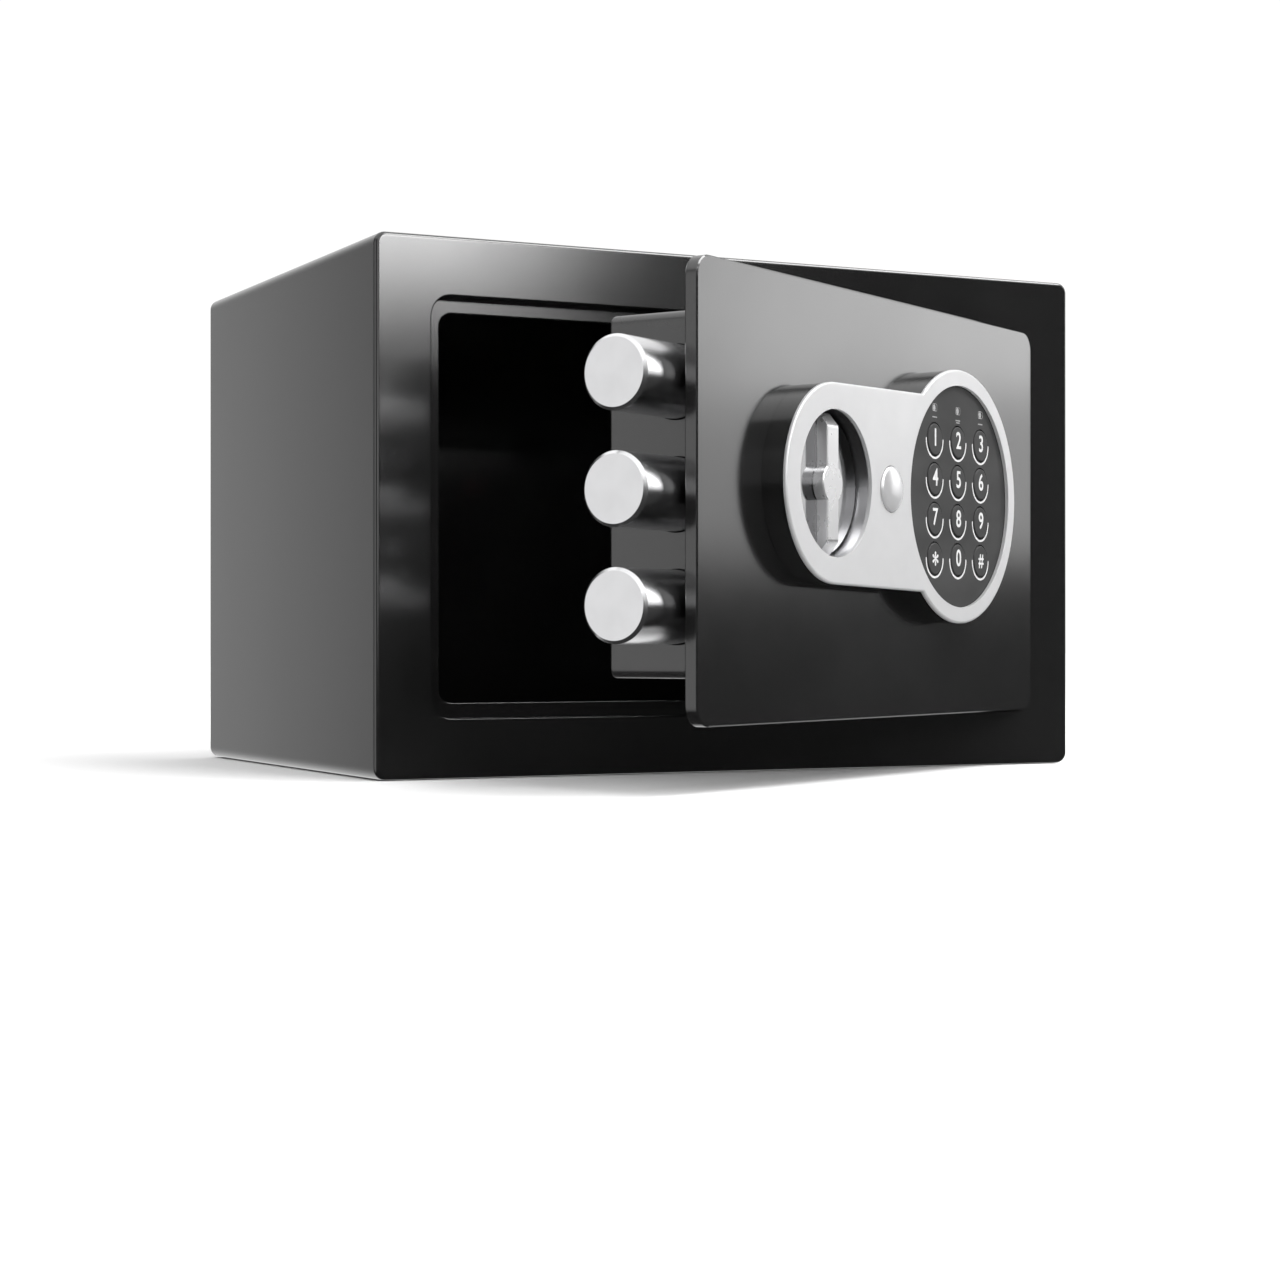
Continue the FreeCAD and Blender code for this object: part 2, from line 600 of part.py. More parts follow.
def make_hinges():
    lug_x = width / 2 - wall
    root = front + front_sheet
    deep = hinge_y + knuckle_radius + lug_lip
    span = arm_height + side_gap * 2 + arm_sheet * 2
    for name, level in (("lower", -hinge_drop), ("upper", hinge_drop)):
        low = level - arm_height / 2
        base = middle + low - side_gap - arm_sheet
        bracket = Piece("hinge_bracket_" + name)
        bracket.pad("XY", base, span, Rect(lug_x - arm_sheet, lug_x, root, deep))
        for bottom in (base, base + span - arm_sheet):
            bracket.pad("XY", bottom, arm_sheet,
                        Rect(hinge_x - knuckle_radius, lug_x - arm_sheet, root, deep))
        bracket.pocket("XY", base, span, Disc(hinge_x, hinge_y, pin_radius))
        pin = Piece("hinge_pin_" + name)
        pin.pad("XY", base, span, Disc(hinge_x, hinge_y, pin_radius))
        pin.pad("XY", base + span, pin_head, Disc(hinge_x, hinge_y, pin_radius + pin_lip))
        make_hinge_arm("hinge_arm_" + name, low)


def make_hinge_arm(name, low):
    """Cranked strip that carries the door round the edge of the front border."""
    inner, outer = hinge_back + arm_crank, hinge_back + arm_crank + arm_sheet
    root = pin_x + arm_lean
    leg = door_width - side_gap
    foot = leg - arm_foot
    arm = Piece(name, on_door=True)
    arm.pad("XY", low, arm_height, Poly(
        (root - arm_sheet, hinge_back), (root, hinge_back), (root, outer), (leg - arm_sheet, outer),
        (leg - arm_sheet, door_sheet + arm_sheet), (foot, door_sheet + arm_sheet),
        (foot, door_sheet), (leg, door_sheet), (leg, inner), (root - arm_sheet, inner)))
    arm.pad("XY", low, arm_height, Disc(pin_x, hinge_back, knuckle_radius))
    arm.pocket("XY", low, arm_height, Disc(pin_x, hinge_back, pin_radius + run_gap))
    arm.fillet(arm_bend, upright_at((root, outer), (leg - arm_sheet, outer)))


# ---------------------------------------------------------------- door and lock case
def housing_screw_spots():
    """Six screws that hold the keypad housing from inside the door."""
    lean = cosine(Size.of(45)) / 2
    near = (cup_radius + arch_radius) * lean
    far = (disc_radius + ring_radius) * lean
    return ([(knob_x - near, panel_z + near * side) for side in (-1, 1)]
            + [(panel_screw_x, panel_z + panel_screw_rise * side) for side in (-1, 1)]
            + [(ring_x + far, panel_z + far * side) for side in (-1, 1)])


def case_post_spots():
    rise = half_case - case_sheet - post_radius - post_gap
    return [(x, rise * side) for x in (case_inset + near_post, case_right - far_post) for side in (-1, 1)]


def discs(spots, radius):
    return [Disc(x, z, radius) for x, z in spots]


def make_door():
    high = door_height / 2
    plate = Piece("door_plate", on_door=True)
    plate.pad("XZ", 0, door_sheet, Rect(0, door_width, -high, high, door_radius),
              Disc(knob_x, panel_z, spindle_radius + bush_wall), Disc(lock_x, panel_z, barrel_radius),
              Disc(ring_x, panel_z, cable_radius + cable_room),
              *discs(housing_screw_spots(), panel_screw))
    inset = door_chamfer * 2
    inner = in_window(inset, door_width - inset, inset - high, high - inset)
    plate.chamfer(door_chamfer, lambda edge: (on_plane("Y", 0)(edge) or on_plane("Y", door_sheet)(edge))
                  and not inner(edge))
    bush = Piece("spindle_bush", on_door=True)
    bush.pad("XZ", 0, door_sheet, Disc(knob_x, panel_z, spindle_radius + bush_wall),
             Disc(knob_x, panel_z, spindle_radius + run_gap))


def battery_bay():
    """Left, right, bottom and top of the battery box."""
    left = case_right - bay_inset
    low = case_sheet + bay_gap - half_case
    return left, left + cell_length + bay_room, low, low + cell_pitch * 4 + bay_slack


def make_case():
    inside = Rect(case_inset + case_sheet, case_right - case_sheet,
                  case_sheet - half_case, half_case - case_sheet, inner_radius)
    left, right, low, high = battery_bay()
    lip = inner_radius
    case = Piece("lock_case", on_door=True)
    case.pad("XZ", door_sheet, case_depth,
             Rect(case_inset, case_right, -half_case, half_case, inner_radius + case_sheet))
    case.pocket("XZ", door_sheet, case_depth - case_sheet, inside)
    case.pocket("XZ", shell_back, case_sheet, Rect(left + lip, right - lip, low + lip, high - lip, lip),
                Disc(button_x, button_z, button_radius + side_gap), *discs(case_post_spots(), panel_screw))
    case.pocket("YZ", case_inset, case_sheet,
                *[Disc(bolt_y, bolt_pitch * step, bolt_radius + side_gap) for step in (-1, 0, 1)])
    inset = case_bend * 2
    case.fillet(case_bend, first_not_second(on_plane("Y", case_back), in_window(
        case_inset + inset, case_right - inset, inset - half_case, half_case - inset)))
    posts = Piece("case_posts", on_door=True)
    posts.pad("XZ", door_sheet, case_depth - case_sheet,
              *discs(case_post_spots(), post_radius), *discs(case_post_spots(), case_screw))
    screws = Piece("case_screws", on_door=True)
    screws.pad("XZ", case_back - tap_depth, tap_depth, *discs(case_post_spots(), case_screw))
    screws.pad("XZ", case_back, case_screw_head, *discs(case_post_spots(), panel_screw * head_ratio))
    make_battery_cover(left, right, low, high)


def make_battery_cover(left, right, low, high):
    gap = inner_radius + side_gap
    cover = Piece("battery_cover", on_door=True)
    cover.pad("XZ", shell_back, case_sheet,
              Rect(left + gap, right - gap, low + gap, high - gap, inner_radius))
    for step in range(5):
        rib = left + rib_gap + rib_pitch * step
        cover.pad("XZ", case_back, rib_rise, Rect(rib, rib + rib_width, low + rib_gap, high - rib_gap))


# ---------------------------------------------------------------- bolt work
def make_bolts():
    names = {-1: "bolt_lower", 0: "bolt_middle", 1: "bolt_upper"}
    spots = [(bolt_y, bolt_pitch * step) for step in names]
    for step, name in names.items():
        bolt = Piece(name, on_door=True)
        bolt.pad("YZ", -bolt_throw, bolt_throw + bolt_rear, Disc(bolt_y, bolt_pitch * step, bolt_radius))
        bolt.pocket("YZ", bolt_rear - tap_depth, tap_depth, Disc(bolt_y, bolt_pitch * step, bolt_screw))
        bolt.chamfer(bolt_chamfer, on_plane("X", -bolt_throw))
    make_bolt_bar(spots)
    screws = Piece("bolt_screws", on_door=True)
    screws.pad("YZ", bolt_rear - tap_depth, tap_depth + bar_sheet, *discs(spots, bolt_screw))
    screws.pad("YZ", bolt_rear + bar_sheet, panel_screw_head, *discs(spots, bolt_screw * head_ratio))
    tail = panel_z + web_step
    guide = Piece("bar_guide", on_door=True)
    guide.pad("YZ", coil_x + guide_place, guide_length,
              Rect(door_sheet, web_y + web_sheet + guide_cap, tail - guide_wall, web_top + guide_wall, 1),
              Rect(web_y - side_gap, web_y + web_sheet + side_gap, tail - side_gap, web_top + side_gap))


def make_bolt_bar(spots):
    """Upright flange behind the bolts, with a web that the cam drives and the plunger locks."""
    flange_top = bolt_pitch + bolt_radius
    root = bolt_rear + bar_sheet
    step_x = knob_x + bolt_travel - web_relief
    foot, tail = panel_z + web_foot, panel_z + web_step
    end = coil_x + bolt_travel + web_tail
    bar = Piece("bolt_bar", on_door=True)
    bar.pad("YZ", bolt_rear, bar_sheet,
            Rect(web_y, bolt_y + bolt_radius - bar_trim, -flange_top, flange_top),
            *discs(spots, bolt_screw))
    bar.pad("XZ", web_y, web_sheet, Poly(
        (root, foot), (step_x, foot), (step_x, tail), (end, tail), (end, web_top), (root, web_top)))
    reach = cam_pin + pin_slack
    bar.pocket("XZ", web_y, web_sheet,
               Rect(slot_x - reach, slot_x + reach, panel_z + half_throw - reach,
                    panel_z + cam_arm + reach, inner_radius))
    notch = plunger_radius + plunger_gap
    bar.pocket("XZ", web_y, web_sheet, *[
        Rect(x - notch, x + notch, web_top - plunger_travel, web_top + notch)
        for x in (coil_x, coil_x - bolt_travel)])


def make_knob():
    base = -knob_lift - knob_base
    tip = base - grip_height
    half = grip_width / 2
    length = cup_radius - knob_gap - grip_inset
    foot, slope = base - grip_foot, length - grip_slope
    knob = Piece("knob", on_door=True)
    knob.pad("XZ", base, knob_base, Disc(knob_x, panel_z, cup_radius - knob_gap))
    knob.fillet(knob_edge, on_plane("Y", base))
    knob.pad("YZ", knob_x - half, grip_width, Poly(
        (base, panel_z - length), (foot, panel_z - length), (tip, panel_z - slope),
        (tip, panel_z + slope), (foot, panel_z + length), (base, panel_z + length)))
    knob.pad("XZ", tip, grip_height, Disc(knob_x, panel_z, boss_radius))
    knob.chamfer(grip_chamfer, on_plane("Y", tip))
    knob.pocket("XZ", base - spindle_socket, knob_base + spindle_socket,
                Disc(knob_x, panel_z, spindle_radius))
    start, clip_y = base - spindle_socket, cam_y + cam_sheet + clip_gap
    spindle = Piece("spindle", on_door=True)
    spindle.pad("XZ", start, clip_y + clip_sheet + spindle_end - start,
                Disc(knob_x, panel_z, spindle_radius))
    clip = Piece("spindle_clip", on_door=True)
    clip.pad("XZ", clip_y, clip_sheet, Disc(knob_x, panel_z, spindle_radius + clip_rim),
             Disc(knob_x, panel_z, spindle_radius))
    make_cam()


def make_cam():
    """Crank whose pin rides in the bolt bar's slot; it stands 45 degrees before upright."""
    rim = cam_pin + cam_rim
    lean = rim * cosine(Size.of(45))
    x, z = knob_x - half_throw, panel_z + half_throw
    cam = Piece("drive_cam", on_door=True)
    cam.pad("XZ", cam_y, cam_sheet, Disc(knob_x, panel_z, spindle_radius + cam_hub))
    cam.pad("XZ", cam_y, cam_sheet, Poly(
        (knob_x + lean, panel_z + lean), (x + lean, z + lean),
        (x - lean, z - lean), (knob_x - lean, panel_z - lean)))
    cam.pad("XZ", cam_y, cam_sheet, Disc(x, z, rim))
    cam.pad("XZ", cam_y + cam_sheet, web_y + web_sheet + pin_proud - cam_y - cam_sheet, Disc(x, z, cam_pin))
    cam.pocket("XZ", cam_y, cam_sheet, Disc(knob_x, panel_z, spindle_radius))


def make_solenoid():
    axis_y = web_y + web_sheet / 2
    collar = web_top + plunger_travel + collar_lift
    low = collar + plunger_collar + spring_length
    high = half_case - case_sheet - frame_gap
    half = coil_radius + coil_room
    inner = half - frame_sheet
    bore = Disc(coil_x, axis_y, plunger_radius + run_gap * 2)
    frame = Piece("solenoid_frame", on_door=True)
    frame.pad("XZ", door_sheet, (axis_y - door_sheet) * 2, Rect(coil_x - half, coil_x + half, low, high, 1),
              Rect(coil_x - inner, coil_x + inner, low + frame_sheet, high - frame_sheet))
    frame.pocket("XY", low, frame_sheet, bore)
    length = high - low - frame_sheet * 2
    coil = Piece("solenoid_coil", on_door=True)
    coil.pad("XY", low + frame_sheet, length, Disc(coil_x, axis_y, coil_radius))
    coil.pocket("XY", low + frame_sheet, length - coil_cap, bore)
    foot = web_top + plunger_gap
    plunger = Piece("plunger", on_door=True)
    plunger.pad("XY", foot, high - plunger_head - foot, Disc(coil_x, axis_y, plunger_radius))
    plunger.pad("XY", collar, plunger_collar, Disc(coil_x, axis_y, plunger_radius + collar_rim))
    make_spring(axis_y, collar + plunger_collar)


def make_spring(axis_y, low):
    """Spring that pushes the plunger down into the bolt bar: each half turn is a tilted arc."""
    turns = 4
    wire = spring_wire.number
    radius = (plunger_radius + spring_gap + spring_wire).number
    rise = spring_length.number - wire * 2

    def spot(quarter):
        angle = quarter * math.pi / 2
        return FreeCAD.Vector(radius * math.cos(angle), radius * math.sin(angle),
                              rise * quarter / turns / 4)

    path = Part.Wire([Part.Arc(spot(step), spot(step + 1), spot(step + 2)).toShape()
                      for step in range(0, turns * 4, 2)])
    section = Part.Wire(Part.makeCircle(wire, spot(0), FreeCAD.Vector(0, 1, 0)))
    solid = path.makePipeShell([section], True, True)
    shift = FreeCAD.Matrix()
    shift.move(FreeCAD.Vector(coil_x.number, axis_y.number, low.number + wire))
    solid.transformShape(shift, True)
    spring = DOC.addObject("Part::Feature", "plunger_spring")
    spring.Shape = solid
    spring.Label = "plunger_spring"
    swing(spring)
    NODES.append(spring)


def make_override_lock():
    """Barrel and plug for the emergency key, with their nut, tail bar and domed cover."""
    barrel_end = door_sheet + barrel_back
    tail_y = barrel_end + tail_gap
    half_tail = tail_width / 2
    barrel = Piece("lock_barrel", on_door=True)
    barrel.pad("XZ", lock_face, barrel_end - lock_face, Disc(lock_x, panel_z, barrel_radius),
               Disc(lock_x, panel_z, plug_radius + run_gap))
    nut = Piece("lock_nut", on_door=True)
    corners = [Size.of(30 + 60 * step) for step in range(6)]
    nut.pad("XZ", door_sheet, nut_sheet, Poly(*[
        (lock_x + nut_radius * cosine(turn), panel_z + nut_radius * sine(turn)) for turn in corners]),
        Disc(lock_x, panel_z, barrel_radius))
    plug = Piece("lock_plug", on_door=True)
    plug.pad("XZ", lock_face, tail_y - lock_face, Disc(lock_x, panel_z, plug_radius))
    plug.pad("XZ", tail_y, tail_sheet, Rect(lock_x - half_tail, lock_x + half_tail,
                                            panel_z - tail_length, panel_z + half_tail, inner_radius))
    plug.pocket("XZ", lock_face, slit_depth,
                Rect(lock_x - slit_width / 2, lock_x + slit_width / 2,
                     panel_z - slit_height / 2, panel_z + slit_height / 2))
    cover = Piece("lock_cover", on_door=True)
    top = -panel_height - cover_dome
    cover.pad("XZ", top, lock_face - cover_gap - top, Disc(lock_x, panel_z, cover_radius))
    cover.fillet(cover_edge, on_plane("Y", top))


# ---------------------------------------------------------------- keypad
def panel_outline(piece, start, length, trim):
    """Ring round the keypad, arch round the knob and the tapered bar between them."""
    arch, neck = arch_radius - trim, waist - trim
    reach = ring_x - waist_reach
    piece.pad("XZ", start, length, Disc(ring_x, panel_z, ring_radius - trim))
    piece.pad("XZ", start, length, Disc(knob_x, panel_z, arch))
    piece.pad("XZ", start, length, Poly(
        (knob_x, panel_z - arch), (reach, panel_z - neck), (ring_x, panel_z - neck),
        (ring_x, panel_z + neck), (reach, panel_z + neck), (knob_x, panel_z + arch)))


def key_spots():
    """Name and centre of each key, top row first."""
    rows = (("1", "2", "3"), ("4", "5", "6"), ("7", "8", "9"), ("star", "0", "hash"))
    for row, names in enumerate(rows):
        for column, name in enumerate(names):
            x = ring_x + key_columns * (column - 1)
            yield "key_" + name, x, panel_z - key_drop + key_rows * (1.5 - row)


def make_panel():
    """Silver face plate on a black housing, with the finger cup let into both."""
    lock_hole = Disc(lock_x, panel_z, cover_radius + cover_gap)
    face = Piece("face_plate", on_door=True)
    panel_outline(face, -panel_height, plate_sheet, Size.of(0))
    face.fillet(plate_edge, on_plane("Y", -panel_height))
    face.pocket("XZ", -panel_height, plate_sheet, Disc(ring_x, panel_z, disc_radius),
                Disc(knob_x, panel_z, cup_radius), lock_hole)
    housing = Piece("keypad_housing", on_door=True)
    panel_outline(housing, plate_back, -plate_back, housing_step)
    housing.pocket("XZ", plate_back, disc_back - plate_back, Disc(ring_x, panel_z, well_radius))
    housing.pocket("XZ", disc_back, -disc_back - well_floor, Disc(ring_x, panel_z, well_radius - disc_seat))
    housing.pocket("XZ", -well_floor, well_floor, Disc(ring_x, panel_z, cable_radius + cable_room))
    housing.pocket("XZ", plate_back, -plate_back,
                   Disc(knob_x, panel_z, cup_radius + cup_wall + disc_gap), lock_hole)
    spots = housing_screw_spots()
    housing.pocket("XZ", -panel_screw_depth, panel_screw_depth, *discs(spots, panel_screw))
    screws = Piece("housing_screws", on_door=True)
    screws.pad("XZ", -panel_screw_depth, door_sheet + panel_screw_depth, *discs(spots, panel_screw))
    screws.pad("XZ", door_sheet, panel_screw_head, *discs(spots, panel_screw * head_ratio))
    cup = Piece("knob_cup", on_door=True)
    floor = -well_gap - cup_floor
    cup.pad("XZ", plate_back, -well_gap - plate_back, Disc(knob_x, panel_z, cup_radius + cup_wall))
    cup.pocket("XZ", plate_back, floor - plate_back, Disc(knob_x, panel_z, cup_radius))
    cup.pocket("XZ", floor, cup_floor, Disc(knob_x, panel_z, spindle_radius + side_gap))


def make_keypad():
    keys = [(x, z) for _, x, z in key_spots()]
    lights = [(ring_x + key_columns * step, panel_z + lamp_rise) for step in (-1, 0, 1)]
    disc = Piece("keypad_disc", on_door=True)
    disc.pad("XZ", disc_front, disc_sheet, Disc(ring_x, panel_z, disc_radius - disc_gap),
             *discs(keys, key_radius + key_gap), *discs(lights, lamp_radius + disc_gap))
    board = Piece("keypad_board", on_door=True)
    board.pad("XZ", board_y, board_sheet, Disc(ring_x, panel_z, well_radius - disc_seat * 2))
    lamps = Piece("status_lamps", on_door=True)
    lamp_front = disc_front + lamp_sink
    lamps.pad("XZ", lamp_front, board_y - lamp_front, *discs(lights, lamp_radius))
    collar_y = disc_back + collar_gap
    cap = disc_front - key_proud
    for name, x, z in key_spots():
        key = Piece(name, on_door=True)
        key.pad("XZ", cap, collar_y - cap, Disc(x, z, key_radius))
        key.fillet(key_edge, on_plane("Y", cap))
        key.pad("XZ", collar_y, collar_sheet, Disc(x, z, key_radius + key_collar))


# ---------------------------------------------------------------- power and control
def make_power():
    left, right, low, high = battery_bay()
    floor_y = shell_back - bay_cover_gap - bay_depth
    box = Piece("battery_box", on_door=True)
    box.pad("XZ", floor_y, bay_depth, Rect(left, right, low, high, inner_radius))
    box.pocket("XZ", floor_y + box_wall, bay_depth - box_wall,
               Rect(left + box_wall, right - box_wall, low + box_wall, high - box_wall, 1))
    half_slack = bay_slack / 2
    levels = [low + half_slack + cell_pitch * (step + 0.5) for step in range(4)]
    cell_y = floor_y + box_wall + cell_lift + cell_radius
    start = left + box_wall
    cells = Piece("batteries", on_door=True)
    rows = [(cell_y, z) for z in levels]
    barrel = cell_length - cell_cap
    cells.pad("YZ", start + contact_sheet, barrel, *discs(rows, cell_radius))
    cells.pad("YZ", start + contact_sheet + barrel, cell_cap, *discs(rows, cell_cap_radius))
    contacts = Piece("battery_contacts", on_door=True)
    for place in (start, start + contact_sheet + cell_length):
        contacts.pad("YZ", place, contact_sheet, *discs(rows, cell_radius - contact_inset))


def make_control():
    left = case_right - bay_inset
    right = left + board_length
    low, high = panel_z + board_low, half_case - board_top
    feet = [(x, z) for x in (left + board_inset, right - board_inset)
            for z in (low + board_inset, high - board_inset)]
    board_back = control_y + board_sheet

    def block(x, z, size, rise):
        board.pad("XZ", control_y - rise, rise, Rect(x, x + size, z, z + size))

    board = Piece("control_board", on_door=True)
    board.pad("XZ", control_y, board_sheet, Rect(left, right, low, high, 1))
    block(ring_x - socket_size / 2, low + socket_low, socket_size, socket_rise)
    block(left + board_inset * 2, low + chip_low, chip_size, chip_rise)
    block(left + driver_inset, low + chip_low + socket_low, driver_size, driver_rise)
    board.pad("XZ", board_back, button_switch,
              Rect(button_x - button_radius, button_x + button_radius,
                   button_z - button_radius, button_z + button_radius))
    standoffs = Piece("board_standoffs", on_door=True)
    standoffs.pad("XZ", board_back, shell_back - board_back, *discs(feet, standoff_radius))
    start = board_back + button_switch + button_float
    button = Piece("reset_button", on_door=True)
    button.pad("XZ", start, case_back + button_proud - start, Disc(button_x, button_z, button_radius))
    button.pad("XZ", shell_back - button_room - 1, 1, Disc(button_x, button_z, button_radius + button_collar))
    button.fillet(button_edge, on_plane("Y", case_back + button_proud))
    make_cable(low + socket_low)


def make_cable(top):
    """Keypad lead: straight in through the door, then up into its connector."""
    run_y = control_y - socket_rise / 2
    turn_y, turn_z = run_y - cable_bend, panel_z + cable_bend
    start = board_y + board_sheet
    cable = Piece("keypad_cable", on_door=True)
    path = cable.sketch("YZ", ring_x, [])
    points = [FreeCAD.Vector(y.number, z.number, 0) for y, z in (
        (start, panel_z), (turn_y, panel_z), (run_y, turn_z), (run_y, top))]
    circle = Part.Circle(FreeCAD.Vector(turn_y.number, turn_z.number, 0), FreeCAD.Vector(0, 0, 1),
                         cable_bend.number)
    first = path.addGeometry(Part.LineSegment(points[0], points[1]))
    arc = path.addGeometry(Part.ArcOfCircle(circle, -math.pi / 2, 0))
    last = path.addGeometry(Part.LineSegment(points[2], points[3]))
    rule("Tangent", path, first, 2, arc, 1)
    rule("Tangent", path, arc, 2, last, 1)
    rule("Horizontal", path, first)
    rule("Vertical", path, last)
    rule("Radius", path, arc, size=cable_bend)
    rule("DistanceX", path, -1, 1, first, 1, size=start)
    rule("DistanceY", path, -1, 1, first, 1, size=panel_z)
    rule("DistanceX", path, -1, 1, last, 2, size=run_y)
    rule("DistanceY", path, -1, 1, last, 2, size=top)
    section = cable.sketch("XZ", start, [Disc(ring_x, panel_z, cable_radius)])
    DOC.recompute()
    pipe = cable.body.newObject("PartDesign::AdditivePipe", "pipe")
    pipe.Profile = section
    pipe.Spine = (path, ["Edge1", "Edge2", "Edge3"])
    DOC.recompute()


# ---------------------------------------------------------------- build, check and write
def check_document():
    """Stop when any object failed or any piece is empty or not a valid closed solid."""
    for item in DOC.Objects:
        if any(word in item.State for word in ("Invalid", "Error")):
            raise ValueError(f"{item.Label} of {item.getParentGeoFeatureGroup()} failed: {item.State}")
    for item in NODES:
        shape = item.Shape
        if shape.isNull() or not shape.isValid() or not shape.Solids:
            raise ValueError(f"{item.Label} has no valid solid")


def main():
    make_cabinet()
    make_hinges()
    make_door()
    make_case()
    make_bolts()
    make_knob()
    make_solenoid()
    make_override_lock()
    make_panel()
    make_keypad()
    make_power()
    make_control()
    DOC.recompute()
    check_document()
    os.makedirs("parts", exist_ok=True)
    for item in NODES:
        item.Shape.exportStep(os.path.join("parts", item.Label + ".step"))
    print(len(NODES), "pieces written")


main()
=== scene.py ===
"""Compact electronic safe: finishes, printed marks, fine hardware and studio round the fixed frame.

Lengths are metres in the part's own frame: +Z is up, +X is to the right of someone facing the
safe, and the origin is the centre of the cabinet's base on the surface it stands on.
"""

import json
import logging
import math
from dataclasses import dataclass, field
from typing import Optional, Sequence

import bmesh
import bpy
from mathutils import Matrix, Vector


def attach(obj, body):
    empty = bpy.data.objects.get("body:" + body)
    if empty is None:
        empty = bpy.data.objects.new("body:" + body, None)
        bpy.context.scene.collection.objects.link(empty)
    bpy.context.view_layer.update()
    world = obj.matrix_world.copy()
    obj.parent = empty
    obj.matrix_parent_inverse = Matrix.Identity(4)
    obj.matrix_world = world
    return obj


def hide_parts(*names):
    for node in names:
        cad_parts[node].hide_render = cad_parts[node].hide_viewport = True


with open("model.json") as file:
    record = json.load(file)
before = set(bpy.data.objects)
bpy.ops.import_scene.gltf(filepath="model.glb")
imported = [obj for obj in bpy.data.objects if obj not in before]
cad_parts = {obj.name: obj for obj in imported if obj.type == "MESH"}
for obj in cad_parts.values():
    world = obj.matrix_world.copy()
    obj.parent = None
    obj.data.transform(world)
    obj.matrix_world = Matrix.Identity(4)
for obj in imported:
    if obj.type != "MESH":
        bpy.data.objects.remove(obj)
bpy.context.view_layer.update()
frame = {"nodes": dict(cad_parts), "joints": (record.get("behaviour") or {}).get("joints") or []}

LOG = logging.getLogger("electronic_safe")
MM = 0.001
NOISE_BAND = (0.3, 0.7)  # nearly all values of a noise pattern lie in here
SOFT, EVEN, CLOUDY, FIBROUS = 2, 3, 4, 6  # octaves of a noise pattern
Colour = tuple[float, float, float, float]
Outline = Sequence[tuple[float, float]]
Socket = bpy.types.NodeSocket


# ---------------------------------------------------------------- frame readings
@dataclass(frozen=True)
class FaceSpace:
    """Directions and origin on the front face of the door, where the door stands open.

    X runs along the door to its hinge edge, Y runs up and Z runs out of the door. The origin
    is the knob's axis on the door plate's front face.
    """

    matrix: Matrix

    @classmethod
    def from_frame(cls) -> "FaceSpace":
        """Read the door's directions from the joints of the fixed frame."""
        joints = {joint["name"]: joint for joint in frame["joints"]}
        along = Vector(joints["bolt_slide"]["axis"]).normalized()
        out = Vector(joints["cover_pull"]["axis"]).normalized()
        up = out.cross(along)
        origin = Vector(joints["knob_turn"]["pos_m"])
        columns = Matrix((along, up, out)).transposed().to_4x4()
        return cls(Matrix.Translation(origin) @ columns)

    def extent(self, node: str) -> tuple[Vector, Vector]:
        """Measure a CAD node in the door's directions.

        Args:
            node: name of the CAD node.

        Returns:
            Its lowest and highest corners along X, Y and Z of this space.
        """
        inverse = self.matrix.inverted()
        spots = [inverse @ vertex.co for vertex in frame["nodes"][node].data.vertices]
        low = Vector([min(spot[axis] for spot in spots) for axis in range(3)])
        high = Vector([max(spot[axis] for spot in spots) for axis in range(3)])
        return low, high

    def centre(self, node: str) -> Vector:
        """Middle of a CAD node in the door's directions, on its outermost face."""
        low, high = self.extent(node)
        return Vector(((low.x + high.x) / 2, (low.y + high.y) / 2, high.z))

    def at(self, x: float, y: float, z: float) -> Matrix:
        """Placement of something that stands at a point of this space and faces out."""
        return self.matrix @ Matrix.Translation((x, y, z))


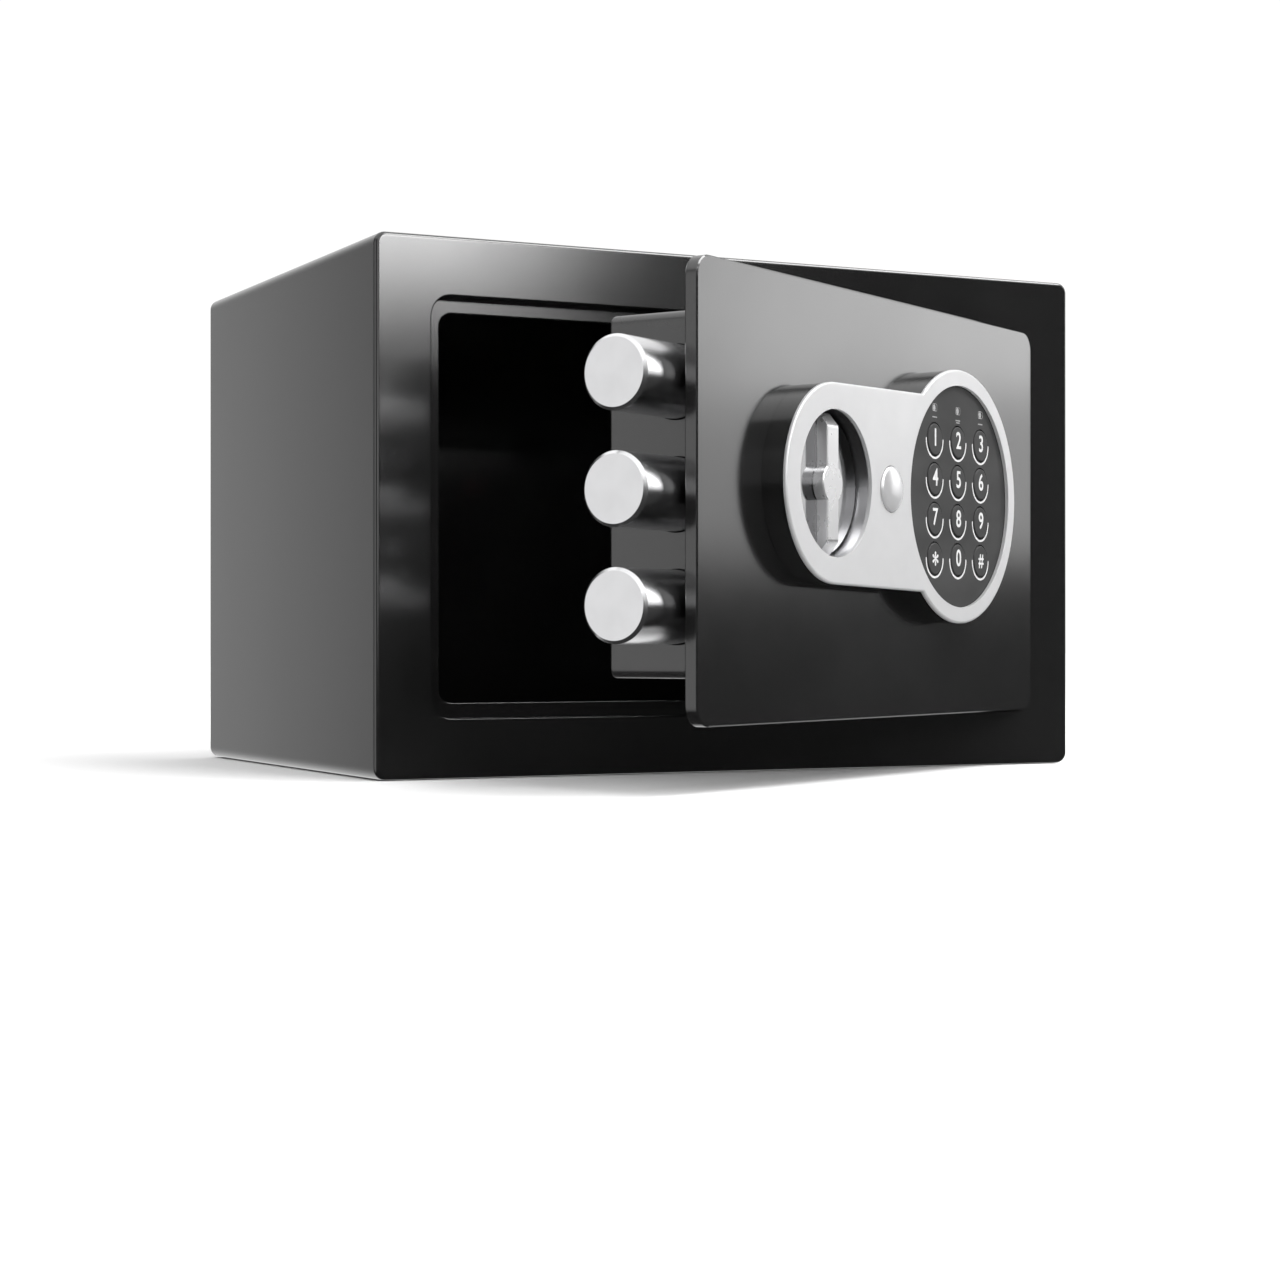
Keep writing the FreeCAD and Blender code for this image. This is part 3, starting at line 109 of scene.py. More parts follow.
# ---------------------------------------------------------------- shader graphs
class Graph:
    """Node graph of one material, with short ways to add what the finishes use."""

    bevel_samples = 4

    def __init__(self, name: str) -> None:
        """Make the material and keep its shader node."""
        self.material = bpy.data.materials.new(name)
        self.material.use_nodes = True
        tree = self.material.node_tree
        self.nodes, self.links = tree.nodes, tree.links
        self.shader = next(node for node in self.nodes if node.type == "BSDF_PRINCIPLED")

    def add(self, kind: str, wires: Optional[dict[str | int, object]] = None,
            **settings: object) -> bpy.types.Node:
        """Add a node.

        Args:
            kind: Blender's name for the node without its ShaderNode prefix.
            wires: for each input by name, the value it has or the socket that feeds it.
            settings: properties of the node.

        Returns:
            The new node.
        """
        node = self.nodes.new("ShaderNode" + kind)
        for name, value in settings.items():
            setattr(node, name, value)
        for name, value in (wires or {}).items():
            if isinstance(value, bpy.types.NodeSocket):
                self.links.new(value, node.inputs[name])
            else:
                node.inputs[name].default_value = value
        return node

    def place(self, space: Optional[Matrix] = None, stretch: Sequence[float] = (1, 1, 1)) -> Socket:
        """Position on the object in metres.

        Args:
            space: placement of the axes to measure along; the part's own axes when left out.
            stretch: factor on each of those axes.

        Returns:
            The socket with the position.
        """
        spot = self.add("TexCoord").outputs["Object"]
        if space is not None:
            spot = self.add("Mapping", {"Vector": spot, "Location": space.translation,
                                        "Rotation": space.to_euler()},
                            vector_type="TEXTURE").outputs["Vector"]
        return self.add("Mapping", {"Vector": spot, "Scale": stretch}).outputs["Vector"]

    def noise(self, spot: Socket, scale: float, detail: float = EVEN, rough: float = 0.5) -> Socket:
        """Soft random pattern from 0 to 1; scale is in patches per metre."""
        return self.add("TexNoise", {"Vector": spot, "Scale": scale, "Detail": detail,
                                     "Roughness": rough}).outputs["Fac"]

    def cells(self, spot: Socket, scale: float) -> Socket:
        """Distance pattern of scattered cells; scale is in cells per metre."""
        return self.add("TexVoronoi", {"Vector": spot, "Scale": scale}, feature="F1").outputs["Distance"]

    def span(self, value: Socket, source: tuple[float, float], target: tuple[float, float]) -> Socket:
        """Stretch one range of values onto another, and clamp it there."""
        return self.add("MapRange", {"Value": value, "From Min": source[0], "From Max": source[1],
                                     "To Min": target[0], "To Max": target[1]}).outputs["Result"]

    def blend(self, value: Socket, low: Colour, high: Colour,
              source: tuple[float, float] = (0.35, 0.65)) -> Socket:
        """Colour that goes from one to another as a value crosses a range.

        Args:
            value: pattern that picks the colour.
            low: colour where the pattern is low.
            high: colour where it is high.
            source: where in the pattern the change starts and ends.

        Returns:
            The socket with the colour.
        """
        ramp = self.add("ValToRGB", {"Fac": value})
        ramp.color_ramp.elements[0].position, ramp.color_ramp.elements[1].position = source
        ramp.color_ramp.elements[0].color, ramp.color_ramp.elements[1].color = low, high
        return ramp.outputs["Color"]

    def sum(self, first: Socket, second: Socket, share: float) -> Socket:
        """First value plus a share of the second."""
        return self.add("Math", {0: second, 1: share, 2: first}, operation="MULTIPLY_ADD").outputs[0]

    def feed(self, **inputs: object) -> None:
        """Set or connect inputs of the shader.

        Args:
            inputs: value or socket of each input, with underscores in its name for spaces.
        """
        for name, value in inputs.items():
            target = self.shader.inputs[name.replace("_", " ")]
            if isinstance(value, bpy.types.NodeSocket):
                self.links.new(value, target)
            else:
                target.default_value = value

    def relief(self, height: Socket, depth: float, strength: float = 1.0, edge: float = 0.0) -> None:
        """Connect a height pattern to the shader's normal.

        Args:
            height: pattern from 0 to 1.
            depth: how deep the pattern is, in metres.
            strength: share of the effect that shows.
            edge: radius by which sharp edges catch the light, in metres; 0 for none.
        """
        bump = self.add("Bump", {"Height": height, "Distance": depth, "Strength": strength})
        if edge:
            soft = self.add("Bevel", {"Radius": edge}, samples=self.bevel_samples)
            self.links.new(soft.outputs["Normal"], bump.inputs["Normal"])
        self.links.new(bump.outputs["Normal"], self.shader.inputs["Normal"])


def grey(value: float) -> Colour:
    """Neutral colour of one linear brightness."""
    return (value, value, value, 1)


def tone(colour: Colour, factor: float, lift: float = 0.0) -> Colour:
    """Colour made lighter or darker by a factor, and lifted a little."""
    return tuple(min(1, part * factor + lift) for part in colour[:3]) + (1,)


# ---------------------------------------------------------------- finishes
@dataclass(frozen=True)
class Enamel:
    """Sprayed enamel on steel: smooth gloss with fine orange peel and a few dust nibs."""

    name: str
    colour: Colour
    gloss: tuple[float, float] = (0.13, 0.17)
    peel: float = 420.0
    peel_depth: float = 4e-6
    level: float = 1.0
    lighter: float = 1.25
    clouds: float = 18.0
    nibs: float = 260.0
    nib_size: float = 0.06
    nib_share: float = 0.5
    edge: float = 0.25 * MM

    def build(self) -> bpy.types.Material:
        """Make the material.

        Returns:
            The material.
        """
        graph = Graph(self.name)
        spot = graph.place()
        peel = graph.noise(spot, self.peel, SOFT)
        cloud = graph.noise(spot, self.clouds, CLOUDY)
        nibs = graph.span(graph.cells(spot, self.nibs), (0.0, self.nib_size), (1, 0))
        graph.feed(Base_Color=graph.blend(cloud, self.colour, tone(self.colour, self.lighter)),
                   IOR=1.5, Specular_IOR_Level=self.level,
                   Roughness=graph.span(cloud, NOISE_BAND, self.gloss))
        graph.relief(graph.sum(peel, nibs, self.nib_share), self.peel_depth, 0.7, self.edge)
        return graph.material


@dataclass(frozen=True)
class Turned:
    """Steel turned on a lathe and polished: rings on its faces, fine lines round its barrel."""

    name: str
    space: Matrix
    colour: Colour = (0.74, 0.74, 0.75, 1)
    rough: tuple[float, float] = (0.2, 0.27)
    rings: float = 2600.0
    depth: float = 1.2e-6
    lines: tuple[float, float, float] = (6, 6, 2200)
    scratches: tuple[float, float, float] = (1500, 60, 900)
    smudges: float = 90.0
    darker: float = 0.97
    ring_share: float = 0.35
    scratch_share: float = 0.3
    edge: float = 0.05 * MM

    def build(self) -> bpy.types.Material:
        """Make the material; the space's Z is the lathe's axis."""
        graph = Graph(self.name)
        spot = graph.place(self.space)
        rings = graph.add("TexWave", {"Vector": spot, "Scale": self.rings / (2 * math.pi) / 3,
                                      "Distortion": 1.5, "Detail": 2.0, "Detail Scale": 8.0},
                          wave_type="RINGS", rings_direction="Z").outputs["Fac"]
        lines = graph.noise(graph.place(self.space, self.lines), 1.0, SOFT)
        smudge = graph.noise(spot, self.smudges, CLOUDY)
        scratch = graph.noise(graph.place(self.space, self.scratches), 1.0, SOFT)
        graph.feed(Base_Color=graph.blend(smudge, self.colour, tone(self.colour, self.darker)),
                   Metallic=1.0, Roughness=graph.span(smudge, NOISE_BAND, self.rough))
        pattern = graph.sum(graph.sum(lines, rings, self.ring_share), scratch, self.scratch_share)
        graph.relief(pattern, self.depth, 0.8, self.edge)
        return graph.material


@dataclass(frozen=True)
class Plated:
    """Zinc-plated or blued steel: faint spangle, soft handling marks and duller edges."""

    name: str
    colour: Colour = (0.56, 0.57, 0.58, 1)
    tint: Colour = (0.46, 0.46, 0.44, 1)
    rough: tuple[float, float] = (0.28, 0.45)
    spangles: float = 420.0
    clouds: float = 120.0
    grain: tuple[float, float, float] = (900, 900, 90)
    depth: float = 3e-6
    edge: float = 0.15 * MM

    def build(self) -> bpy.types.Material:
        """Make the material.

        Returns:
            The material.
        """
        graph = Graph(self.name)
        spot = graph.place()
        spangle = graph.cells(spot, self.spangles)
        cloud = graph.noise(spot, self.clouds, CLOUDY)
        grain = graph.noise(graph.place(None, self.grain), 1.0, SOFT)
        mottle = graph.sum(cloud, spangle, 0.25)
        graph.feed(Base_Color=graph.blend(mottle, self.colour, self.tint, (0.4, 0.8)),
                   Metallic=1.0, Roughness=graph.span(cloud, NOISE_BAND, self.rough))
        graph.relief(graph.sum(grain, spangle, 0.5), self.depth, 0.7, self.edge)
        return graph.material


@dataclass(frozen=True)
class SilverTrim:
    """Silver trim: metal flake in lacquer, brushed along one direction where it asks for it."""

    name: str
    space: Matrix
    colour: Colour = (0.52, 0.52, 0.525, 1)
    metallic: float = 0.5
    rough: tuple[float, float] = (0.42, 0.5)
    brush: tuple[float, float, float] = (60, 2400, 60)
    depth: float = 2e-6
    edge: float = 0.2 * MM
    flakes: float = 5200.0
    clouds: float = 55.0
    darker: float = 0.93

    def build(self) -> bpy.types.Material:
        """Make the material.

        Returns:
            The material.
        """
        graph = Graph(self.name)
        spot = graph.place(self.space)
        lines = graph.noise(graph.place(self.space, self.brush), 1.0, EVEN, 0.6)
        flake = graph.cells(spot, self.flakes)
        cloud = graph.noise(spot, self.clouds, CLOUDY)
        fleck, streak = graph.sum(cloud, flake, 0.12), graph.sum(cloud, lines, 0.4)
        darker = tone(self.colour, self.darker)
        graph.feed(Base_Color=graph.blend(fleck, self.colour, darker, (0.3, 0.9)),
                   Metallic=self.metallic, Roughness=graph.span(streak, (0.4, 1.0), self.rough))
        graph.relief(graph.sum(lines, flake, 0.3), self.depth, 0.6, self.edge)
        return graph.material


@dataclass(frozen=True)
class KnobChrome:
    """Knob with a dark mirror-bright base and a satin silver grip that stands on it."""

    name: str
    space: Matrix
    step: float
    base: Colour = (0.3, 0.3, 0.305, 1)
    grip: Colour = (0.5, 0.5, 0.505, 1)
    depth: float = 1.5e-6
    change: float = 0.1 * MM
    lines: tuple[float, float, float] = (2000, 50, 50)
    smudges: float = 140.0
    edge: float = 0.08 * MM

    def build(self) -> bpy.types.Material:
        """Make the material; the finish changes at the step, measured out from the door."""
        graph = Graph(self.name)
        spot = graph.place(self.space)
        height = graph.add("SeparateXYZ", {"Vector": spot}).outputs["Z"]
        on_grip = graph.span(height, (self.step, self.step + self.change), (0, 1))
        lines = graph.noise(graph.place(self.space, self.lines), 1.0, EVEN, 0.6)
        smudge = graph.noise(spot, self.smudges, CLOUDY)
        shade = graph.sum(on_grip, smudge, -0.06)
        graph.feed(Base_Color=graph.blend(shade, self.base, self.grip, (0.0, 0.9)),
                   Metallic=graph.span(on_grip, (0, 1), (1.0, 0.7)),
                   Roughness=graph.sum(graph.span(on_grip, (0, 1), (0.05, 0.24)), smudge, 0.08))
        graph.relief(graph.sum(lines, smudge, 0.4), self.depth, 0.6, self.edge)
        return graph.material


@dataclass(frozen=True)
class Moulded:
    """Injection-moulded plastic: fine spark texture or gloss, with faint flow marks."""

    name: str
    colour: Colour
    rough: tuple[float, float] = (0.12, 0.2)
    grain: float = 1600.0
    depth: float = 2e-6
    coat: float = 0.0
    level: float = 0.5
    flow: tuple[float, float, float] = (30, 30, 70)
    lighter: float = 1.35
    lift: float = 0.003
    edge: float = 0.12 * MM

    def build(self) -> bpy.types.Material:
        """Make the material.

        Returns:
            The material.
        """
        graph = Graph(self.name)
        spot = graph.place()
        grain = graph.noise(spot, self.grain, EVEN)
        flow = graph.noise(graph.place(None, self.flow), 1.0, EVEN)
        lighter = tone(self.colour, self.lighter, self.lift)
        graph.feed(Base_Color=graph.blend(flow, self.colour, lighter), Coat_Weight=self.coat,
                   Coat_Roughness=0.08, Specular_IOR_Level=self.level,
                   Roughness=graph.span(flow, NOISE_BAND, self.rough))
        graph.relief(graph.sum(grain, flow, 0.4), self.depth, 0.8, self.edge)
        return graph.material


@dataclass(frozen=True)
class Felt:
    """Needled felt: matted fibres with flecks and a soft sheen."""

    name: str
    colour: Colour = (0.035, 0.035, 0.04, 1)
    fleck: Colour = (0.1, 0.1, 0.105, 1)
    along: tuple[float, float, float] = (900, 260, 500)
    across: tuple[float, float, float] = (240, 1000, 500)
    flecks: float = 1400.0
    wiry: float = 0.75
    depth: float = 0.25 * MM

    def build(self) -> bpy.types.Material:
        """Make the material.

        Returns:
            The material.
        """
        graph = Graph(self.name)
        spot = graph.place()
        fibre = graph.noise(graph.place(None, self.along), 1.0, FIBROUS, self.wiry)
        cross = graph.noise(graph.place(None, self.across), 1.0, FIBROUS, self.wiry)
        flecks = graph.sum(fibre, graph.noise(spot, self.flecks, SOFT), 0.4)
        graph.feed(Base_Color=graph.blend(flecks, self.colour, self.fleck, (0.5, 0.95)),
                   Roughness=graph.span(cross, NOISE_BAND, (0.85, 1.0)),
                   Sheen_Weight=0.35, Sheen_Roughness=0.5)
        graph.relief(graph.sum(fibre, cross, 0.9), self.depth)
        return graph.material


@dataclass(frozen=True)
class CircuitBoard:
    """Printed circuit board: green resist over copper tracks, with tinned pads."""

    name: str
    space: Matrix
    resist: Colour = (0.006, 0.09, 0.035, 1)
    track: Colour = (0.02, 0.19, 0.07, 1)
    pads: float = 320.0
    bricks: float = 120.0
    track_width: float = 0.06
    depth: float = 0.03 * MM

    def build(self) -> bpy.types.Material:
        """Make the material.

        Returns:
            The material.
        """
        graph = Graph(self.name)
        spot = graph.place(self.space)
        tracks = graph.add("TexBrick", {"Vector": spot, "Scale": self.bricks,
                                        "Mortar Size": self.track_width,
                                        "Color1": (0, 0, 0, 1), "Color2": (0, 0, 0, 1),
                                        "Mortar": (1, 1, 1, 1)}, offset=0.35).outputs["Fac"]
        pads = graph.span(graph.cells(spot, self.pads), (0.1, 0.14), (1, 0))
        shade = graph.blend(graph.sum(tracks, pads, 1.0), self.resist, self.track, (0.2, 0.8))
        graph.feed(Base_Color=shade, Roughness=graph.span(pads, (0, 1), (0.38, 0.2)),
                   Metallic=graph.span(pads, (0, 1), (0.0, 0.9)))
        graph.relief(graph.sum(tracks, pads, 1.0), self.depth)
        return graph.material


@dataclass(frozen=True)
class Ink:
    """Screen-printed ink: nearly flat, with a fine mesh and slightly uneven cover."""

    name: str
    colour: Colour
    mesh: float = 5200.0
    cover: float = 900.0
    thinner: float = 0.86
    depth: float = 3e-6

    def build(self) -> bpy.types.Material:
        """Make the material.

        Returns:
            The material.
        """
        graph = Graph(self.name)
        spot = graph.place()
        mesh = graph.noise(spot, self.mesh, SOFT)
        cover = graph.noise(spot, self.cover, EVEN)
        graph.feed(Base_Color=graph.blend(cover, self.colour, tone(self.colour, self.thinner)),
                   Roughness=graph.span(cover, NOISE_BAND, (0.42, 0.55)))
        graph.relief(mesh, self.depth)
        return graph.material


@dataclass(frozen=True)
class Backdrop:
    """Pale matt studio floor with a barely visible paper tooth."""

    name: str = "studio_paper"
    tooth: float = 300.0
    depth: float = 0.05 * MM
    fade: tuple[float, float] = (1.2, 3.5)

    def build(self) -> bpy.types.Material:
        """Make the material.

        Returns:
            The material.
        """
        graph = Graph(self.name)
        spot = graph.place()
        tooth = graph.noise(spot, self.tooth, CLOUDY)
        reach = graph.add("VectorMath", {0: spot}, operation="LENGTH").outputs["Value"]
        graph.feed(Base_Color=graph.blend(tooth, grey(0.9), grey(0.88)), Emission_Color=grey(1.0),
                   Emission_Strength=graph.span(reach, self.fade, (0.0, 0.2)),
                   Roughness=graph.span(tooth, NOISE_BAND, (0.8, 0.9)), Specular_IOR_Level=0.1)
        graph.relief(tooth, self.depth, 0.3)
        return graph.material


# ---------------------------------------------------------------- mesh work
class Mesher:
    """Ways to make closed meshes: lathed, extruded and lettered."""

    weld = 1e-7
    curve_steps = 6
    draft_rise = 0.01

    @staticmethod
    def wrap(name: str, shape: bmesh.types.BMesh, smooth: bool = True,
             angle: float = 32) -> bpy.types.Object:
        """Turn a bmesh into a linked object.

        Args:
            name: name of the object and its mesh.
            shape: the mesh, which is freed.
            smooth: whether curved stretches are shaded smoothly.
            angle: edges sharper than this many degrees stay crisp.

        Returns:
            The object, at the origin.
        """
        bmesh.ops.remove_doubles(shape, verts=shape.verts, dist=Mesher.weld)
        bmesh.ops.recalc_face_normals(shape, faces=shape.faces)
        limit = math.radians(angle)
        for face in shape.faces:
            face.smooth = smooth
        for edge in shape.edges:
            edge.smooth = smooth and len(edge.link_faces) == 2 and edge.calc_face_angle(0) < limit
        mesh = bpy.data.meshes.new(name)
        shape.to_mesh(mesh)
        shape.free()
        item = bpy.data.objects.new(name, mesh)
        bpy.context.scene.collection.objects.link(item)
        return item

    @staticmethod
    def lathe(shape: bmesh.types.BMesh, profile: Outline, steps: int) -> None:
        """Turn a profile about Z and add it to a mesh.

        Args:
            shape: mesh to add to.
            profile: points of radius and height, from axis to axis for a solid.
            steps: facets round the axis.
        """
        rings = []
        for radius, height in profile:
            if radius == 0:
                rings.append([shape.verts.new((0, 0, height))])
                continue
            rings.append([shape.verts.new((radius * math.cos(2 * math.pi * step / steps),
                                           radius * math.sin(2 * math.pi * step / steps), height))
                          for step in range(steps)])
        for lower, upper in zip(rings, rings[1:]):
            for step in range(steps):
                ahead = (step + 1) % steps
                corners = [lower[step % len(lower)], lower[ahead % len(lower)],
                           upper[ahead % len(upper)], upper[step % len(upper)]]
                corners = [v for index, v in enumerate(corners) if v not in corners[:index]]
                if len(corners) > 2:
                    shape.faces.new(corners)

    @staticmethod
    def slab(shape: bmesh.types.BMesh, outline: Outline, low: float, high: float) -> None:
        """Stand a closed outline up between two heights and add it to a mesh.

        Args:
            shape: mesh to add to.
            outline: points of the outline, in order.
            low: height of its underside.
            high: height of its top.
        """
        bottom = [shape.verts.new((x, y, low)) for x, y in outline]
        top = [shape.verts.new((x, y, high)) for x, y in outline]
        shape.faces.new(list(reversed(bottom)))
        shape.faces.new(top)
        for index in range(len(outline)):
            ahead = (index + 1) % len(outline)
            shape.faces.new([bottom[index], bottom[ahead], top[ahead], top[index]])

    @staticmethod
    def frame_band(shape: bmesh.types.BMesh, outer: Outline, inner: Outline,
                   low: float, high: float) -> None:
        """Stand a closed band between two matching outlines up and add it to a mesh.

        Args:
            shape: mesh to add to.
            outer: outline of the band's outside.
            inner: outline of its inside, with as many points.
            low: height of its underside.
            high: height of its top.
        """
        rings = [[shape.verts.new((x, y, z)) for x, y in outline]
                 for outline, z in ((outer, low), (outer, high), (inner, high), (inner, low))]
        for first, second in zip(rings, rings[1:] + rings[:1]):
            for index in range(len(outer)):
                ahead = (index + 1) % len(outer)
                shape.faces.new([first[index], first[ahead], second[ahead], second[index]])

    @staticmethod
    def rounded(width: float, height: float, radius: float, steps: int = 6) -> list[tuple[float, float]]:
        """Outline of a rectangle with round corners about the origin.

        Args:
            width: its whole width.
            height: its whole height.
            radius: radius of its corners.
            steps: straight pieces in each corner.

        Returns:
            The points, in order.
        """
        outline = []
        for turn, (sx, sy) in enumerate(((1, 1), (-1, 1), (-1, -1), (1, -1))):
            cx, cy = sx * (width / 2 - radius), sy * (height / 2 - radius)
            for step in range(steps + 1):
                angle = math.pi / 2 * (turn + step / steps)
                outline.append((cx + radius * math.cos(angle), cy + radius * math.sin(angle)))
        return outline

    @staticmethod
    def arc_band(radius: float, stroke: float, start: float, end: float, steps: int = 40,
                 end_steps: int = 6) -> list[tuple[float, float]]:
        """Outline of a stroke that follows an arc about the origin, with round ends.

        Args:
            radius: radius of its outer side.
            stroke: its width.
            start: angle it starts at, in degrees.
            end: angle it ends at, in degrees.
            steps: straight pieces along it.
            end_steps: straight pieces in each round end.

        Returns:
            The points, in order.
        """
        outer, inner = radius, radius - stroke
        middle, half = radius - stroke / 2, stroke / 2
        a0, a1 = math.radians(start), math.radians(end)
        angles = [a0 + (a1 - a0) * step / steps for step in range(steps + 1)]
        outline = [(outer * math.cos(a), outer * math.sin(a)) for a in angles]
        tip = (middle * math.cos(a1), middle * math.sin(a1))
        outline += [(tip[0] + half * math.cos(a1 + t), tip[1] + half * math.sin(a1 + t))
                    for t in (math.pi * step / end_steps for step in range(1, end_steps))]
        outline += [(inner * math.cos(a), inner * math.sin(a)) for a in reversed(angles)]
        root = (middle * math.cos(a0), middle * math.sin(a0))
        outline += [(root[0] + half * math.cos(a0 + math.pi + t),
                     root[1] + half * math.sin(a0 + math.pi + t))
                    for t in (math.pi * step / end_steps for step in range(1, end_steps))]
        return outline

    @staticmethod
    def letter(name: str, text: str, size: float, rise: float, weight: float) -> bpy.types.Object:
        """Make one printed sign as a thin solid.

        Args:
            name: name of the object.
            text: the sign.
            size: height of its figures.
            rise: thickness of the ink.
            weight: how much each stroke is fattened.

        Returns:
            A mesh object centred on the origin, facing +Z.
        """
        curve = bpy.data.curves.new(name, "FONT")
        curve.body = text
        curve.size = 1.0
        curve.offset = weight
        curve.resolution_u = Mesher.curve_steps
        curve.extrude = Mesher.draft_rise
        source = bpy.data.objects.new(name, curve)
        bpy.context.scene.collection.objects.link(source)
        bpy.context.view_layer.update()
        solid = source.evaluated_get(bpy.context.evaluated_depsgraph_get())
        mesh = bpy.data.meshes.new_from_object(solid)
        bpy.data.objects.remove(source)
        spots = [vertex.co.copy() for vertex in mesh.vertices]
        low = Vector([min(spot[axis] for spot in spots) for axis in range(3)])
        high = Vector([max(spot[axis] for spot in spots) for axis in range(3)])
        middle = (low + high) / 2
        scale = size / (high.y - low.y)
        for vertex in mesh.vertices:
            spot = (vertex.co - middle) * scale
            vertex.co = (spot.x, spot.y, rise if vertex.co.z > middle.z else 0)
        mesh.name = name
        item = bpy.data.objects.new(name, mesh)
        bpy.context.scene.collection.objects.link(item)
        return item


def settle(piece: bpy.types.Object, body: str, finish: bpy.types.Material,
           place: Optional[Matrix] = None) -> bpy.types.Object:
    """Put a new piece in place, dress it and fix it to a body.

    Args:
        piece: the new object.
        body: body that it moves with.
        finish: its material.
        place: placement in the part's frame; left as it is when not given.

    Returns:
        The piece.
    """
    if place is not None:
        piece.matrix_world = place
    if not piece.data.materials:
        piece.data.materials.append(finish)
    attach(piece, body)
    LOG.info("%s rides on %s in %s", piece.name, body, finish.name)
    return piece


def dress(nodes: Sequence[str], finish: bpy.types.Material) -> None:
    """Give CAD nodes a material in all their slots.

    Args:
        nodes: names of the CAD nodes.
        finish: the material.
    """
    for name in nodes:
        mesh = frame["nodes"][name].data
        if not mesh.materials:
            mesh.materials.append(finish)
        for index in range(len(mesh.materials)):
            mesh.materials[index] = finish
        LOG.info("%s in %s", name, finish.name)


# ---------------------------------------------------------------- sub-assemblies
@dataclass
class Cabinet:
    """Welded steel cabinet with its door stop, hinge brackets and felt mat."""

    enamel: Enamel = Enamel("black_enamel", grey(0.006))
    hinge_plating: Plated = Plated("hinge_zinc")
    felt: Felt = Felt("black_felt")

    def build(self) -> None:
        """Dress the cabinet's nodes."""
        dress(["body_shell", "back_panel", "door_stop", "door_plate"], self.enamel.build())
        dress([name for name in frame["nodes"] if name.startswith("hinge_")], self.hinge_plating.build())
        dress(["floor_mat"], self.felt.build())


@dataclass
class LockWork:
    """Lock case with the bolts, the bar that carries them and the works inside."""

    face: FaceSpace
    case_paint: Enamel = Enamel("case_paint", grey(0.014), gloss=(0.2, 0.3), peel=650.0, peel_depth=8e-6)
    zinc: Plated = Plated("works_zinc")
    brass: Plated = Plated("brass", (0.72, 0.52, 0.2, 1), (0.6, 0.42, 0.16, 1), (0.2, 0.35))
    nylon: Moulded = Moulded("black_nylon", grey(0.02), rough=(0.35, 0.5))
    tape: Moulded = Moulded("coil_tape", (0.45, 0.2, 0.03, 1), rough=(0.3, 0.45))
    red: Moulded = Moulded("red_button", (0.5, 0.01, 0.01, 1), rough=(0.15, 0.25))
    jacket: Moulded = Moulded("battery_jacket", (0.02, 0.02, 0.025, 1), rough=(0.12, 0.22), coat=0.5)
    sheath: Moulded = Moulded("cable_sheath", grey(0.03), rough=(0.4, 0.5))

    def build(self) -> None:
        """Dress the lock's nodes."""
        dress(["lock_case", "battery_cover"], self.case_paint.build())
        turn = Matrix.Rotation(math.pi / 2, 4, "Y")
        for name in ("bolt_lower", "bolt_middle", "bolt_upper"):
            low, high = self.face.extent(name)
            space = self.face.at(low.x, (low.y + high.y) / 2, (low.z + high.z) / 2) @ turn
            dress([name], Turned("polished_" + name, space).build())
        dress(["bolt_bar", "bolt_screws", "spindle", "spindle_clip", "drive_cam", "solenoid_frame",
               "plunger", "plunger_spring", "case_posts", "case_screws", "housing_screws",
               "board_standoffs"], self.zinc.build())
        dress(["lock_barrel", "lock_plug", "lock_nut", "spindle_bush", "battery_contacts"],
              self.brass.build())
        dress(["battery_box", "bar_guide"], self.nylon.build())
        dress(["solenoid_coil"], self.tape.build())
        dress(["reset_button"], self.red.build())
        dress(["batteries"], self.jacket.build())
        dress(["keypad_cable"], self.sheath.build())
        dress(["keypad_board", "control_board"], CircuitBoard("circuit_board", self.face.matrix).build())


